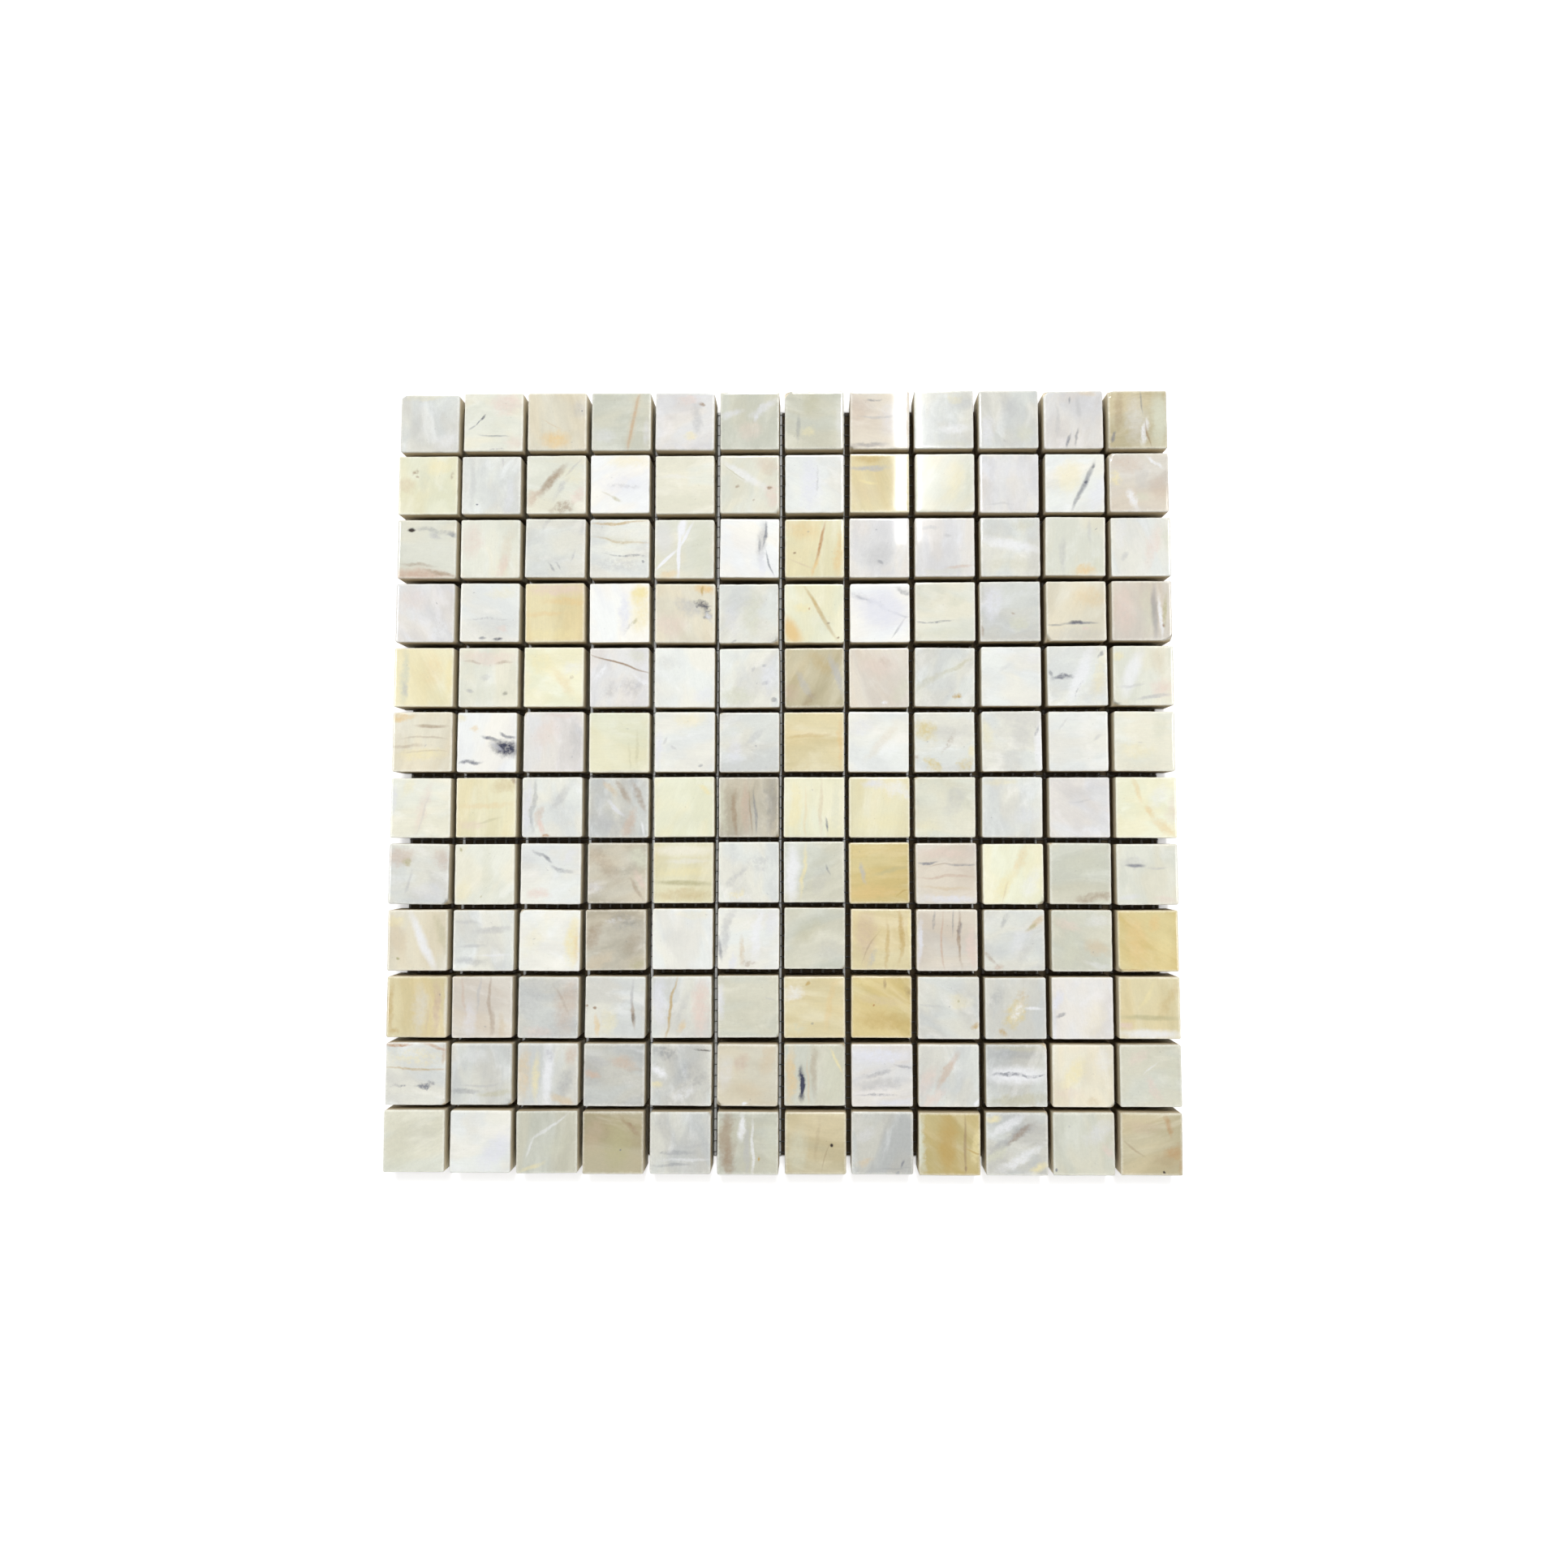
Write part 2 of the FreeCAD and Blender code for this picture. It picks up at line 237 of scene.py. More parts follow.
# The chips, row by row: column, kind of stone, and by how many shades it is paler, or deeper below
# 0. Then come its veins, clouds and stains, the lowest first. Each gives its tint, its middle in
# hundredths of half a side, its half length and half width in mm, its strength in hundredths, and
# last, where they aren't 0, 30 and 100, its angle, how patchy and how wavy it is.
CHIP_LIST = """
row 1
1 grey: fog -40 10 11 4 30 90, milk 60 -60 7 5 50 30, wax -20 95 12 2 25 2
2 ivory: rose 45 65 9 6 60, ink -36 16 2.2 0.6 80 55, lead -52 -3 2 0.5 80 50,
  lead -74 -20 2.2 0.6 60 30, lead 0 -45 8 0.6 60 -3, rose 70 -70 5 4 40, lead 10 -97 5 0.5 50 2 80
3 buff -1: fog 75 40 5 5 40, sand -5 -60 8 5 70, lead 80 33 0.6 0.5 80, fawn -10 -10 7 0.4 60 -25
4 sage -1: rust 40 0 18 1 60 79 40 40, fawn 40 0 18 2.4 35 79 20 40, haze 85 -40 8 2 40 85,
  haze -60 -50 7 4 30
5 lilac: bark 58 55 1.6 1 85, fog 46 10 10 2.6 55 87, rose 15 70 6 3 45, wax 20 -50 3 2.4 50
6 sage -1: haze -60 24 6.5 2.2 55 12 20, haze 45 42 9 2.2 55 33 20, haze 20 10 2.4 1.2 60 80,
  rose 0 -35 7 5 35 10
7 sage -1: lead -55 -25 8 1.2 35 88, drab -10 55 6 5 35 90, wax -20 -40 4 3 40,
  milk 85 0 13 2.4 35 90
8 blush: clay -70 40 8 6 30 90, haze 40 0 10 7 40 90, lead -20 73 5 0.7 60 0 70,
  lead -40 -80 10 1.2 50, fog -10 10 10 0.7 50
9 grey: fog 50 50 9 5 35, milk 40 -35 10 2.6 60, wax 30 65 4 3 30, moss 30 -90 10 2 40
10 grey -1: fog 0 50 7 5 45 100, haze -75 -40 9 3.4 60 80, moss 50 -50 6 5 50
11 lilac -1: fog 18 40 6 1.6 50 88, lead 6 -60 4.6 0.8 60 85, lead -20 -75 4 0.8 80 78,
  lead -12 65 1.6 0.6 70 80, fog -55 0 9 1.2 45 94, sand 50 85 5 1.6 30
12 tan: bark -62 30 12 2.4 40 88, mist -10 0 13 5 50 90, moss 75 0 16 5 90 88 10,
  milk 22 -40 8 2 80 82, lead 14 60 6 0.6 60 90, bark 33 -50 7 0.6 70 105, lead -82 -62 2.6 1 80 70
row 2
1 lemon -1: bark -45 45 2.2 1.4 70 50 80, bark -40 30 1.1 0.8 70, bark 85 35 2.4 1 50 80 90,
  fawn -75 0 5 4 50, moss -15 20 9 3 45 90, wax 40 60 6 4 40
2 grey 1: fog -62 0 14 1.6 35 90, lead -43 -68 0.6 0.5 90, haze 60 -40 10 3 35 82,
  fog 40 80 3 0.7 50 88
3 ivory: bark -15 15 11.5 2.5 75 50 20 70, clay -75 -45 5.5 2.8 60 50, bark 20 -75 7 3 60 25 70,
  rose 75 -35 5 3 60 45, fog 15 -15 8 1.6 50 55 70, fog 55 60 7 0.8 50 50, wax 55 30 7 5 20
4 white: wax 30 80 12 4 35, haze 0 -5 16 6 50, fog 10 -10 9 1.3 40 -3 90, drab -10 -50 3 1 60 -20,
  drab -40 -40 4 0.5 30 -20
5 ivory: milk -30 30 10 1 30 2, moss 20 -50 11 4 25
6 ivory -1: milk -15 27 14 2.6 65 -33 20 60, drab -50 36 7 0.4 50 -36, clay 65 60 8 5 40 -33,
  rose 80 -40 7 4 60 90, bark 70 -22 1.5 1 80 0 70, bark -42 -8 1.2 0.8 70 30,
  bark 10 -52 0.7 0.6 60
7 pearl: haze -15 0 16 6 75 90, fog 10 10 9 0.7 50 85 90 160
8 honey: fog -40 55 11 1.7 85 2, dun -40 90 9 2.2 45, fawn -50 -30 11 6 30, wax -40 5 5 0.9 70
9 ivory: wax 30 0 13 6 25 80, moss 80 10 13 2 50 88
10 lilac: fog -30 -72 8 0.6 35, haze 0 50 12 4 30
11 pearl: wax -20 20 8 10 40 -20 10, lead 37 5 12 1.5 75 65 20 50, lead 10 -60 5.5 1 50 72,
  ink 40 3 1.2 0.8 70, ink 66 62 1.8 0.9 50 65, haze 85 -35 11 5.5 60 65 10
12 blush -1: milk 55 65 6.5 1.3 90 -38 40 150, milk -20 -55 6 2 85 -65 30 130,
  wax -85 10 3 4 60 0 60, fog 10 10 7 4 30 80, moss 10 -50 3.4 2.4 60, clay -40 60 8 5 40,
  clay 70 -20 7 5 35 80
row 3
1 ivory -2: soot -53 63 1.9 1.1 120 0 0 50, lead 20 62 12 1.4 35 -3 50, fog 25 45 3 1.6 70 -10,
  lead 86 53 2.8 1.3 70 -30, clay -30 -92 18 4.6 100 -5 20 60, bark -30 -52 9 1 50 -8,
  bark 50 -85 9 1.2 60 -14
2 ivory: rose -60 30 10 6 45 90, fawn 55 -10 15 3.4 35 78, rose 40 -55 7 2.6 50 70,
  moss 90 40 8 2 30 90
3 grey: lead -15 -62 3 0.9 50 -55 50 160, lead 15 -60 3 0.7 45 -50 50 160,
  fog 60 -20 3.6 0.7 60 60 60 150, fog -30 80 4 1.2 50 60 60
4 grey 2: dun 0 86 18 0.8 65 3, dun 10 26 17 0.7 45 -4 50, lead 30 -25 11 0.7 60 -3 80,
  drab 0 30 12 2.2 20 -3, lead 82 -43 0.8 0.7 80, fog 0 -60 13 4 35 0 90
5 ivory -1: mist -70 35 10 5.5 70 100 10 40, milk -20 -20 15 1 120 88 0 50,
  milk -8 70 6 2.6 120 75 0 40, milk -62 -38 8 0.9 120 43 0 30, milk 5 45 8 0.9 120 60 0 30,
  sand -60 -90 5.5 3 50 30, moss 60 0 16 8 60 90 10
6 white: fog 42 20 12 2.8 65 88 30 70, lead 52 50 7 1 85 88, lead 36 5 4 0.8 60 95,
  lead 62 -50 7.5 0.6 75 -71, haze 45 -60 6 2.4 60 90
7 straw: sand -40 60 9 6 45, rust 20 20 12 0.9 85 76 20 50, sand 0 -60 7 1.2 70 70,
  sand 85 -20 13 3 60 85, bark -70 -13 1 0.7 85, fawn -45 -50 7 0.5 50 -25
8 lilac: fog 0 -30 9 6 45 20, lead 0 -50 2 0.8 50 -20
9 lilac: fog -50 62 4.5 1.3 60, fog 10 42 1.8 1 70, clay 50 -65 7 0.9 50 5, moss 0 -80 12 2 30
10 grey: milk 0 8 17 3.2 75 -11 15 60, drab 40 75 7 3 25, drab 0 -60 12 4 20
11 ivory -1: fog -45 -30 9 2 40 92, fog 50 50 7 1 40 92, sand 30 -85 5 3 70 15, moss 85 -60 6 5 70
12 pearl -1: rose 40 0 12 3.2 45 75, moss 85 30 6 3 50 90, fog -50 -30 3 1.4 50 40,
  haze -70 40 8 4 30 90
row 4
1 lilac: rose -50 40 9 6 30, milk 50 -50 7 4 40 30 80
2 pearl: fog 0 -55 18 6 30, ink 25 -91 2.4 0.7 85, lead -25 -87 2 0.6 70, fog 0 -25 11 0.7 60 2 80,
  wax 40 70 9 3 25, rose 40 -60 3 2 50
3 honey 1: rose 10 78 16 4 70, sand 40 32 12 2.2 45, sand -40 -10 11 1.4 40, wax 0 -75 14 3 40
4 white: haze 12 0 12 3 75 92, wax 72 65 5.5 4 100 20 20, wax 70 10 13 6.5 60 90,
  drab 45 -30 3 1.3 60 50 80, lead 25 -55 3 1 30 60 90
5 buff: fog 10 20 8 4.4 60 -30, ink 55 30 4.4 2.6 95 -8 20 150, lead 72 -5 4.4 2.8 85 -45 70 150,
  milk 80 -15 3.4 1.6 70 -45 90, sand 60 85 6 2.6 80, dun 57 72 2.6 0.8 90 88, rose -50 -40 9 7 50
6 grey: moss 15 0 14 4 60 88, haze -55 -20 10 4.5 35 90, lead -50 -93 1.6 0.7 50 20
7 lemon: dun 20 3 16 1.2 75 -59 20 40, sand -80 -60 10 5 90 -55 0 30, bark 43 -30 0.9 0.6 95,
  bark 78 -85 1.1 0.7 90, wax -40 15 5 2.2 50, rust -13 14 0.6 0.5 70, moss 30 -30 8 5 35 -50
8 white: fog -42 40 8.5 2.2 75 -27 40 130, lead -35 35 8 0.9 75 -28 40 130, ink 2 17 2 1.1 70 -20,
  lead 50 -2 8 0.7 75 -14 40 130, fog 85 75 5 1.8 95 -20, fog 62 -45 7 0.6 85 56,
  haze 10 10 16 11 95 -22 10
9 ivory -1: lead -20 -33 7 0.6 70 0 70, lead -78 -34 3 0.5 50, moss 40 30 6 3 40 20,
  moss 0 -75 12 3 40
10 grey -2: haze -60 30 11 5.5 70 90, moss 30 -35 5 4 70, bark -95 -65 3 1 60 90, bark 8 -5 1 0.6 60
11 buff: sand 45 45 9 6 35, lead 10 -42 9 0.8 90 1 40 40, lead -70 -47 5 0.6 60 2,
  ink 0 -41 3.4 0.8 70, fog 0 -80 16 4 30, rose 25 -62 2 1 50
12 blush -1: rose -60 0 14 6 55 90, moss 20 0 15 3.4 50 90, lead 42 0 15 1.9 50 90 10 40,
  milk 62 -20 12 1.2 90 90, drab 79 0 9 1.2 80 84 40, bark 68 -52 1.2 0.9 90 90
row 5
1 straw 1: moss -65 0 15 2.4 80 90, fog -60 -35 4 1.6 50 90, sand 30 20 10 6 30 90,
  wax 92 0 13 2.4 50 90
2 ivory: rose 0 65 16 4 50, bark -50 50 5 0.8 35, bark 50 47 5 1 45, fog -10 5 3 1.4 40,
  soot 52 -53 1.5 1.1 60, fog -60 -40 2 1 80, moss 0 -50 13 5 30
3 lemon 1: wax -40 50 9 6 45 -30, sand 30 -20 9 2.6 30 -60, milk 60 30 6 4 40 30,
  bark 55 -10 1.2 1.2 50 0 80
4 lilac 1: bark 5 45 18 0.55 90 -18 10 50, lead 40 -35 6 5 30 60 60, lead -30 -40 5 4 25 60 60,
  milk -65 10 6 1.5 90 60 60, milk 75 -10 5 1.3 80 -40 60, moss 60 70 5 3 50
5 pearl: fog -50 50 6 4 25, haze 60 -60 7 4 40 30
6 grey 2: lead 52 42 1.4 1 50 30, fog 10 30 2 1 60 60, lead 50 -20 2 1.1 50 20 50,
  lead 80 -75 1.5 1.2 60, moss -40 -65 10 4.4 70, haze 65 10 10 5 50 90
7 tan: fog -38 -25 9 2 50 -62 20, fog 75 10 11 2.2 75 -75, dun 20 50 8 4 35 -50,
  bark -10 -75 5 2.6 40 60, clay -85 -50 5 6 50 60
8 blush 1: rose 0 40 10 6 40, moss 75 -40 8 4 50 60, milk 20 -80 2 1 90 0 70, bark 20 50 4 2 20 -40
9 grey: drab -60 -20 9 2.4 35 33 40, drab 40 37 10 1.5 45 25 40, dun 32 -64 2.8 1.8 95 15 50 130,
  fog 10 -20 6 4 30 30
10 pearl: fog -20 30 4 1 25 30, haze 70 60 6 3 30
11 grey 2: lead -52 -12 5.5 1.2 95 8 40 160, lead -92 10 2.6 0.9 60 -70 50,
  milk 10 5 17 3.4 75 68 10 50, wax 70 0 12 3.6 35 75, lead 75 70 2.6 1 60 55 60,
  lead 2 -45 5 0.6 40 70 90
12 ivory: milk -38 10 14 4.2 75 68 10 50, rose 60 -40 6 5 60, fog 30 -68 9 1.3 70 8,
  fawn 50 50 8 4 30 90, wax -90 70 4 3 50, fog -40 -30 7 0.8 40 5
row 6
1 buff 1: bark 30 52 8 1.1 65 1 20 40, bark -50 -12 8 0.8 35, bark 10 12 12 0.6 35,
  sand -70 80 8 2.4 70, wax 0 -40 14 3 50, bark 20 -30 12 0.5 25
2 white: ink 64 -20 8 4.6 110 -14 35 80, lead 5 13 4.6 1.2 95 -12, lead 62 28 5 1.1 90 -18 20 150,
  haze 35 -15 4.5 1.2 50 -35 60, lead -52 -60 5.4 1.3 90 5 30 130, sand -45 40 2.2 1.8 50,
  wax -85 75 3 2 50
3 lilac: rose -30 30 10 6 35 60, fog 70 10 10 3.6 40 90, rose 30 90 8 1.6 40
4 lemon -1: drab 62 -20 10 1 35 88 50, drab 35 -50 8 0.8 25 92, fog 0 -95 12 1 30
5 pearl: wax 20 70 9 4 35, haze -85 -20 10 2.6 70 90, fog -60 5 2.2 0.9 60 60,
  lead 60 -72 1.2 0.9 60, fog -35 -20 1.6 0.7 50 -30
6 grey: fog 20 20 8 2 40 40, haze -50 -30 8 4 50 90
7 honey: dun -20 20 11 1.2 35 3, sand 90 0 13 2 50 90
8 pearl: fawn 10 0 13 2.4 25 52, haze -60 50 6 4 40
9 grey: gilt -70 40 6.5 5.4 75 -20 50 120, gilt -35 -75 5.4 3.2 80 -45 50 120,
  gilt 62 -75 4.4 3 60 60 60 120, bark 10 0 7 1.4 35 60 90, wax 85 -30 4 2 60 90,
  bark -95 -45 1.5 1 60
10 grey 1: wax -85 30 9 4.5 40 100, fog 30 10 10 5 30 90, milk 95 -20 15 3 80 92 10 60,
  lead 82 35 3.4 0.8 60 80 60
11 pearl: fog -50 60 4 0.8 30 60, fog 60 10 2.4 1 45 30
12 ivory: moss 50 40 8 4 40 80, wax -30 -30 9 4 30
row 7
1 ivory 1: rose 10 0 14 3 40 70, haze -90 30 7 2.4 60 90, fog 10 -20 12 0.8 25 70,
  wax -40 70 6 3 30 60
2 straw: bark 90 92 3 1.4 80 -40, dun 60 70 7 3.4 35 10, sand 0 10 15 1.8 30,
  drab 10 -45 7 0.8 40 12, rose -50 -60 8 3 40
3 grey 2: lead -62 10 14 1.3 40 88, clay -42 -30 5 1.8 50 80, rose -35 -65 4.4 1.4 90 -70,
  rust -22 -93 1.8 1 80, fog 30 30 9 2.4 45 45, haze -85 0 14 2.6 70 90
4 ash: bark 20 50 8 1.6 50 -60 40, bark 65 35 9 1.8 55 -68 40, fawn -25 60 5 2 70 -50,
  clay 40 -50 9 3 60 75, fog -35 -55 9 5 55 -40 60, milk 82 -75 4 0.9 70 -75 20,
  haze -10 0 6 1.2 70 -40
5 lemon: wax 70 55 4 1.6 60 -40, moss 0 -40 12 5 20
6 taupe: bark -45 -20 14 1.4 55 90, clay -10 0 14 2.4 60 90, lead 20 -20 13 0.7 55 90,
  lead 75 0 15 3 30 90, moss -85 0 14 2.4 70 90, bark 5 -20 12 0.5 50 91
7 lemon: lead 42 -55 4 0.8 90 90, fawn 20 0 15 1.2 50 90, wax -60 0 14 3 50 90,
  moss 75 0 15 2.4 40 90, sand -30 -20 14 0.8 30 89
8 straw: milk 60 55 10 3.4 60 -22 30 140, haze -20 75 6 2.4 70, wax 0 -50 14 5 30
9 sage 2: fog 30 20 9 5 35 60, wax -60 -70 8 4 25
10 grey 1: wax -40 85 10 2 30, haze 50 -30 9 5 30
11 lilac 1: fog 10 15 4 0.7 40 5, milk 50 -75 8 3 50 0 70, fog 0 50 12 4 20
12 lemon 1: sand -30 55 6.5 1.5 45 -65, sand 10 -15 3.4 1.5 55 -70, sand 55 -65 8 2.4 45 -30,
  rose 90 -10 7 3 40 80, milk 40 40 7 5 40 60
row 8
1 grey: clay -60 50 8 4 60 8 20, clay 75 50 5.6 4 50 -60, drab -38 38 2.4 1.8 80 20,
  fog -30 -30 6 0.9 50 80, haze 40 -60 10 5 35
2 ivory 1: moss 10 0 16 3 40 88, drab -74 78 1 0.8 90 60, drab -10 -76 1 0.7 70 60,
  wax -70 -60 8 4 30 80
3 pearl: lead -25 60 6 1 50 -32 40 140, lead -5 45 3 1 60 -38, lead 40 15 5.6 0.9 50 -18 40 140,
  rose -40 -70 6 3 60, fog -80 40 6 5 25, haze 60 60 5 3 40 60
4 taupe 2: bark -45 30 12 4.4 35 -55 40, bark 60 -50 7 1.2 50 -62, moss 75 50 7 5 90 -60,
  haze -80 -50 5 4 45, rose 70 -20 6 2 60 -60
5 straw -1: drab 0 -35 16 1.4 80 -2 20 40, wax 0 0 16 3 40, dun 0 -75 16 3 35,
  bone 0 75 18 3.4 75 0 10 50, milk 10 40 12 1.6 35
6 grey 1: fog -40 -20 8 1.6 50 45 60, wax -45 -75 5 2 50 20 80, fog 40 30 8 5 35 0 90
7 sage: milk -72 0 17 4 85 88 10 50, wax -35 10 13 1.2 70 85, lead 45 15 3 0.6 50 -60,
  fog 20 -30 8 4 25 80
8 gold: fog -50 0 5 1.5 70 -80, drab 40 10 9 1.2 50 12, sand -30 -60 14 4 50, dun 75 -70 4 0.6 60 35
9 blush: lead -60 38 4.6 0.8 80 3, lead 50 28 7.5 0.8 65 0 40 50, bark -20 29 6 0.4 50,
  clay 0 -15 15 0.8 70, fawn 0 -50 13 1 70 -2, haze 10 -85 14 2 70, rose 0 70 15 3 50
10 lemon 1: sand 20 45 8 2.6 40 66, wax -30 -40 9 4 60 60, fawn -30 -60 6 0.6 40 70,
  milk 60 -30 8 4 40 70
11 sage: bark 30 -72 8 2.2 50 18 40, bark 85 -70 4 2.4 50, moss 10 30 12 6 40, bark 10 -88 6 1 30 5
12 ivory -1: lead -40 30 5 0.9 100 0 20 40, fog -50 42 6 3 40, fog 30 25 5 0.7 50,
  haze -60 -75 6 2 40, rose 60 -85 6 2 40
row 9
1 buff: milk 18 -5 18 2.6 85 -66 10 40, fawn -65 0 12 5 50 -70 10, drab 75 30 10 2.6 40 -70,
  drab -55 -57 0.9 0.7 100 0 0, wax -75 60 5 3 50
2 grey 1: lead -40 -72 9 2.2 35, fog 30 40 10 1.6 60 4, fog -30 -15 8 1 50 5,
  fog -60 60 8 0.8 40 -4, milk 40 -50 10 0.8 50
3 pearl 1: wax 75 0 14 3.4 70 84, wax -40 20 12 5 20 60, sand 85 -20 9 1.4 30 84
4 taupe: bark -80 10 8 3.6 50 60, lead 30 60 9 4 30 -10 60, fawn -60 -70 9 4.4 50 30,
  drab 70 -80 5 2.6 60 30, milk -5 60 5 1.2 40 0 90, bark 60 -10 7 4 25 60
5 pearl: wax 30 80 10 2 20, fog -30 0 9 5 15
6 pearl: lead -95 -20 8 1.2 80 95, fog -70 20 13 2.6 55 80, fawn -20 -40 8 1.6 60 -80 40,
  bark 5 -75 4 2 45 0 80, milk 25 20 14 2.8 80 84 20, haze 75 60 8 4 50 90, haze -55 -80 5 2 80 80
7 sage: drab -20 30 9 5 30 30, fog 60 -40 8 5 25
8 honey: dun 62 20 14 1.5 70 90, dun 18 -20 13 1.2 50 92, clay -50 10 14 5 55 90,
  wax 92 20 13 1.4 70 90, fog -30 -60 5 2 50 60 80, bark -40 -20 9 0.5 35 60
9 blush -1: bark 43 10 14 0.9 70 90, lead 45 40 4 1 50 90, lead 22 60 7 0.6 50 90,
  lead -45 65 5 0.9 50 88 60, clay -15 0 15 0.6 90 90, haze -90 0 12 1.6 80 90,
  rose 80 -20 12 2.6 70 90
10 grey: fawn 70 55 6 1.5 90 40 20, drab 55 42 3 0.9 80 35, lead -30 60 4 1.3 35 70 60,
  bark -80 -50 7 0.9 45 -45 60, clay -55 -85 3 2 70 0 60, haze 20 0 9 4 40 60, fog 40 -30 9 3 35 60
11 sage: fawn 50 -25 7 3.6 60 -20 10, rose -50 50 7 3 40 -30, moss -30 -30 10 4 50 80,
  milk 55 60 7 3 40, milk 50 -80 8 1.6 40 -15
12 gold 1: sand -40 0 14 6 50 90, sand 25 60 5 3 60 90, wax 50 -20 12 4 30 90, dun -50 -95 7 0.8 70
row 10
1 honey: dun -85 0 14 2 50 90, mist 10 -10 14 4 50 90, clay 65 0 15 2.4 70 90,
  fawn 35 -40 9 0.6 60 90, haze 95 0 14 1 40 90, dun -75 -80 2.6 1.6 50
2 blush: bark 28 30 12 1.1 50 90, bark 35 -50 8 1.5 40 88, fog -10 40 9 1 60 88,
  clay -60 30 11 0.8 50 92, fawn 70 -60 7 2 50 90, haze -40 -40 10 4 50 90
3 ash 1: fog -55 30 12 6.5 40 80, clay 60 10 15 6 50 80, bark 45 30 9 0.9 25 -60,
  rose -30 -80 9 3 40
4 grey: bark 60 -20 7 0.9 75 -80 20, soot 62 -30 2.6 1.2 50 -80, fog 55 40 8 0.9 70 92,
  bark -65 -5 1 0.9 90, bark -93 5 0.8 0.7 90, sand -55 -60 6 1.3 60 95, wax -20 -50 7 4 40 90
5 grey: dun -35 0 17 0.8 75 78 20 80, haze -70 20 14 4 70 88, rose 65 0 15 4.6 75 88,
  sand -5 -60 3.4 2 50 60, fog 10 10 8 2 30 60
6 sage: haze -90 20 10 2.6 70 90, fog 70 25 3 0.6 40 -10
7 honey: milk -70 50 6.5 3 60 5 30 120, dun -18 80 1.3 1 90 40, sand 50 10 13 2 35 75,
  moss -60 -60 5 3 50 0 80
8 gold: dun 10 -45 15 4.6 45, bark 8 75 2.4 0.9 55 85, bark 85 45 3 1.8 50 -50 50,
  wax -60 80 6 2 40, fawn 0 20 12 3 40, rust -23 0 0.5 0.5 90 0 0
9 grey -1: dun 85 -57 1.9 1.6 75, wax 35 20 6 4 30, drab 30 22 0.8 0.6 80, fog -60 0 6 0.6 40 -5
10 grey -1: gilt 0 -10 8.5 4.4 90 60 60 140, dun 20 40 4.2 2.6 45 60 75 140,
  dun -42 -80 2.2 1.8 70 0 40, milk 5 -5 6 2.4 80 60 90, milk 60 0 5 0.9 80 -5,
  lead -60 30 6 3 20 60 90
11 lilac 1: lead -70 -27 2.6 1.1 65 25, haze -85 20 7 3 90 60, wax 40 -40 10 6 20 80
12 honey: drab 0 -30 16 1.5 70 0 20 40, milk 0 -85 18 2.8 80 0 10 40, rose -80 -62 4 2 80,
  dun 60 30 10 3 30 60, wax -10 40 8 1.5 40 60
row 11
1 grey 1: rust -60 93 8 1 90 -3 40, rust 60 88 7 1 60 -10 40, dun 5 18 17 0.8 60 -3 40,
  lead 35 -38 4.6 1.3 90 2 70 140, lead -55 -37 4 0.9 80 0 80 140, rust 90 60 5 1.2 40 90,
  wax 0 55 15 3.6 35 -2 90
2 grey -1: lead -50 -55 9 1.3 45, drab 50 -62 9 1.3 45 4, fog 0 -35 11 0.7 50, milk -20 60 8 3 30
3 grey -1: milk 0 0 18 3.2 85 88 10 60, lead 0 60 4 2 30 80 70, sand -80 0 15 3.4 40 88,
  lead 65 -25 8 4 35 70, clay 75 65 6 4 60 80, fawn 50 -85 7 2 80 -25, wax -40 -10 12 2 60 88
4 ash -2: clay -75 0 4.6 1.8 85 -12, clay 30 45 8 3.4 60 -15, fog -50 45 6 3 50, bark 70 20 5 1.5 20
5 ash 1: lead -50 70 7 3.6 45 -15 70, milk -75 15 5 2.6 90 -40, wax -85 -30 3 2 60,
  soot 75 82 4.4 0.7 70 -12 60 130, lead 20 0 8 5 25 60 70, milk 10 -60 7 3 50 20 70,
  lead 60 -20 6 3 25 50 70
6 buff -2: clay -20 40 5 4 60 60, fawn 70 50 9 4 60 80, milk -10 -90 1.6 1 100,
  haze -70 0 10 4 30 90, fawn 10 -50 8 4 35
7 sage -1: ink -43 -25 8.5 1.7 120 89 10, sand -80 0 15 3 60 90, bark 2 10 14 1.8 35 90,
  moss 60 0 16 5.4 70 90, wax 72 45 8 0.8 70 -62, fawn -20 -20 13 0.7 70 90
8 lilac: lead -15 8 8 1 45 6 50 140, lead 70 22 5 0.9 45 -12 40 140, fog 0 -25 14 3.4 60 2,
  lead -20 -60 10 0.8 50 -3 60, haze 0 65 16 4.4 95, haze 40 -88 12 1.8 70
9 grey: clay -5 15 11 1.9 75 62, rose -70 -20 9 4 50 60, rose -50 -75 8 3 60 30,
  milk 93 -80 2.6 1.4 120 60 0, fog 60 -10 9 5 20 80
10 ash: milk 0 2 18 4.8 90 0 10 50, lead -30 6 9 0.9 85 0 60 130, lead 50 0 8 0.8 70 -3 70 130,
  lead 0 65 14 2.2 25 2, drab 0 -80 18 3.4 45 2, drab 0 85 14 1.6 35
11 buff 2: wax -30 10 10 4.6 55 60, milk 65 50 8 4 40 90, dun 30 -80 4 2 25 0 60,
  rose -50 -60 8 3 30
12 sage: rose -40 60 6 3 40 30, rose 5 -40 7 2.4 50 -60, milk 0 25 5 0.6 50 40,
  moss 70 10 10 3 50 90
row 12
1 sage 2: moss -40 -60 9 5 50 20, fog 30 20 9 6 12
2 pearl: haze 50 -30 12 6 75 50
3 sage -2: milk 10 50 12 0.8 55 38, milk -50 -20 6 0.7 50 70, wax -50 -80 7 1 50 20,
  moss 30 -10 9 5 40 40
4 tan -3: bark 50 55 7 1.5 70 -42, drab 20 -10 13 7 75 85, lead 24 -23 0.5 0.5 90 0 0,
  clay -60 30 9 5 30 60
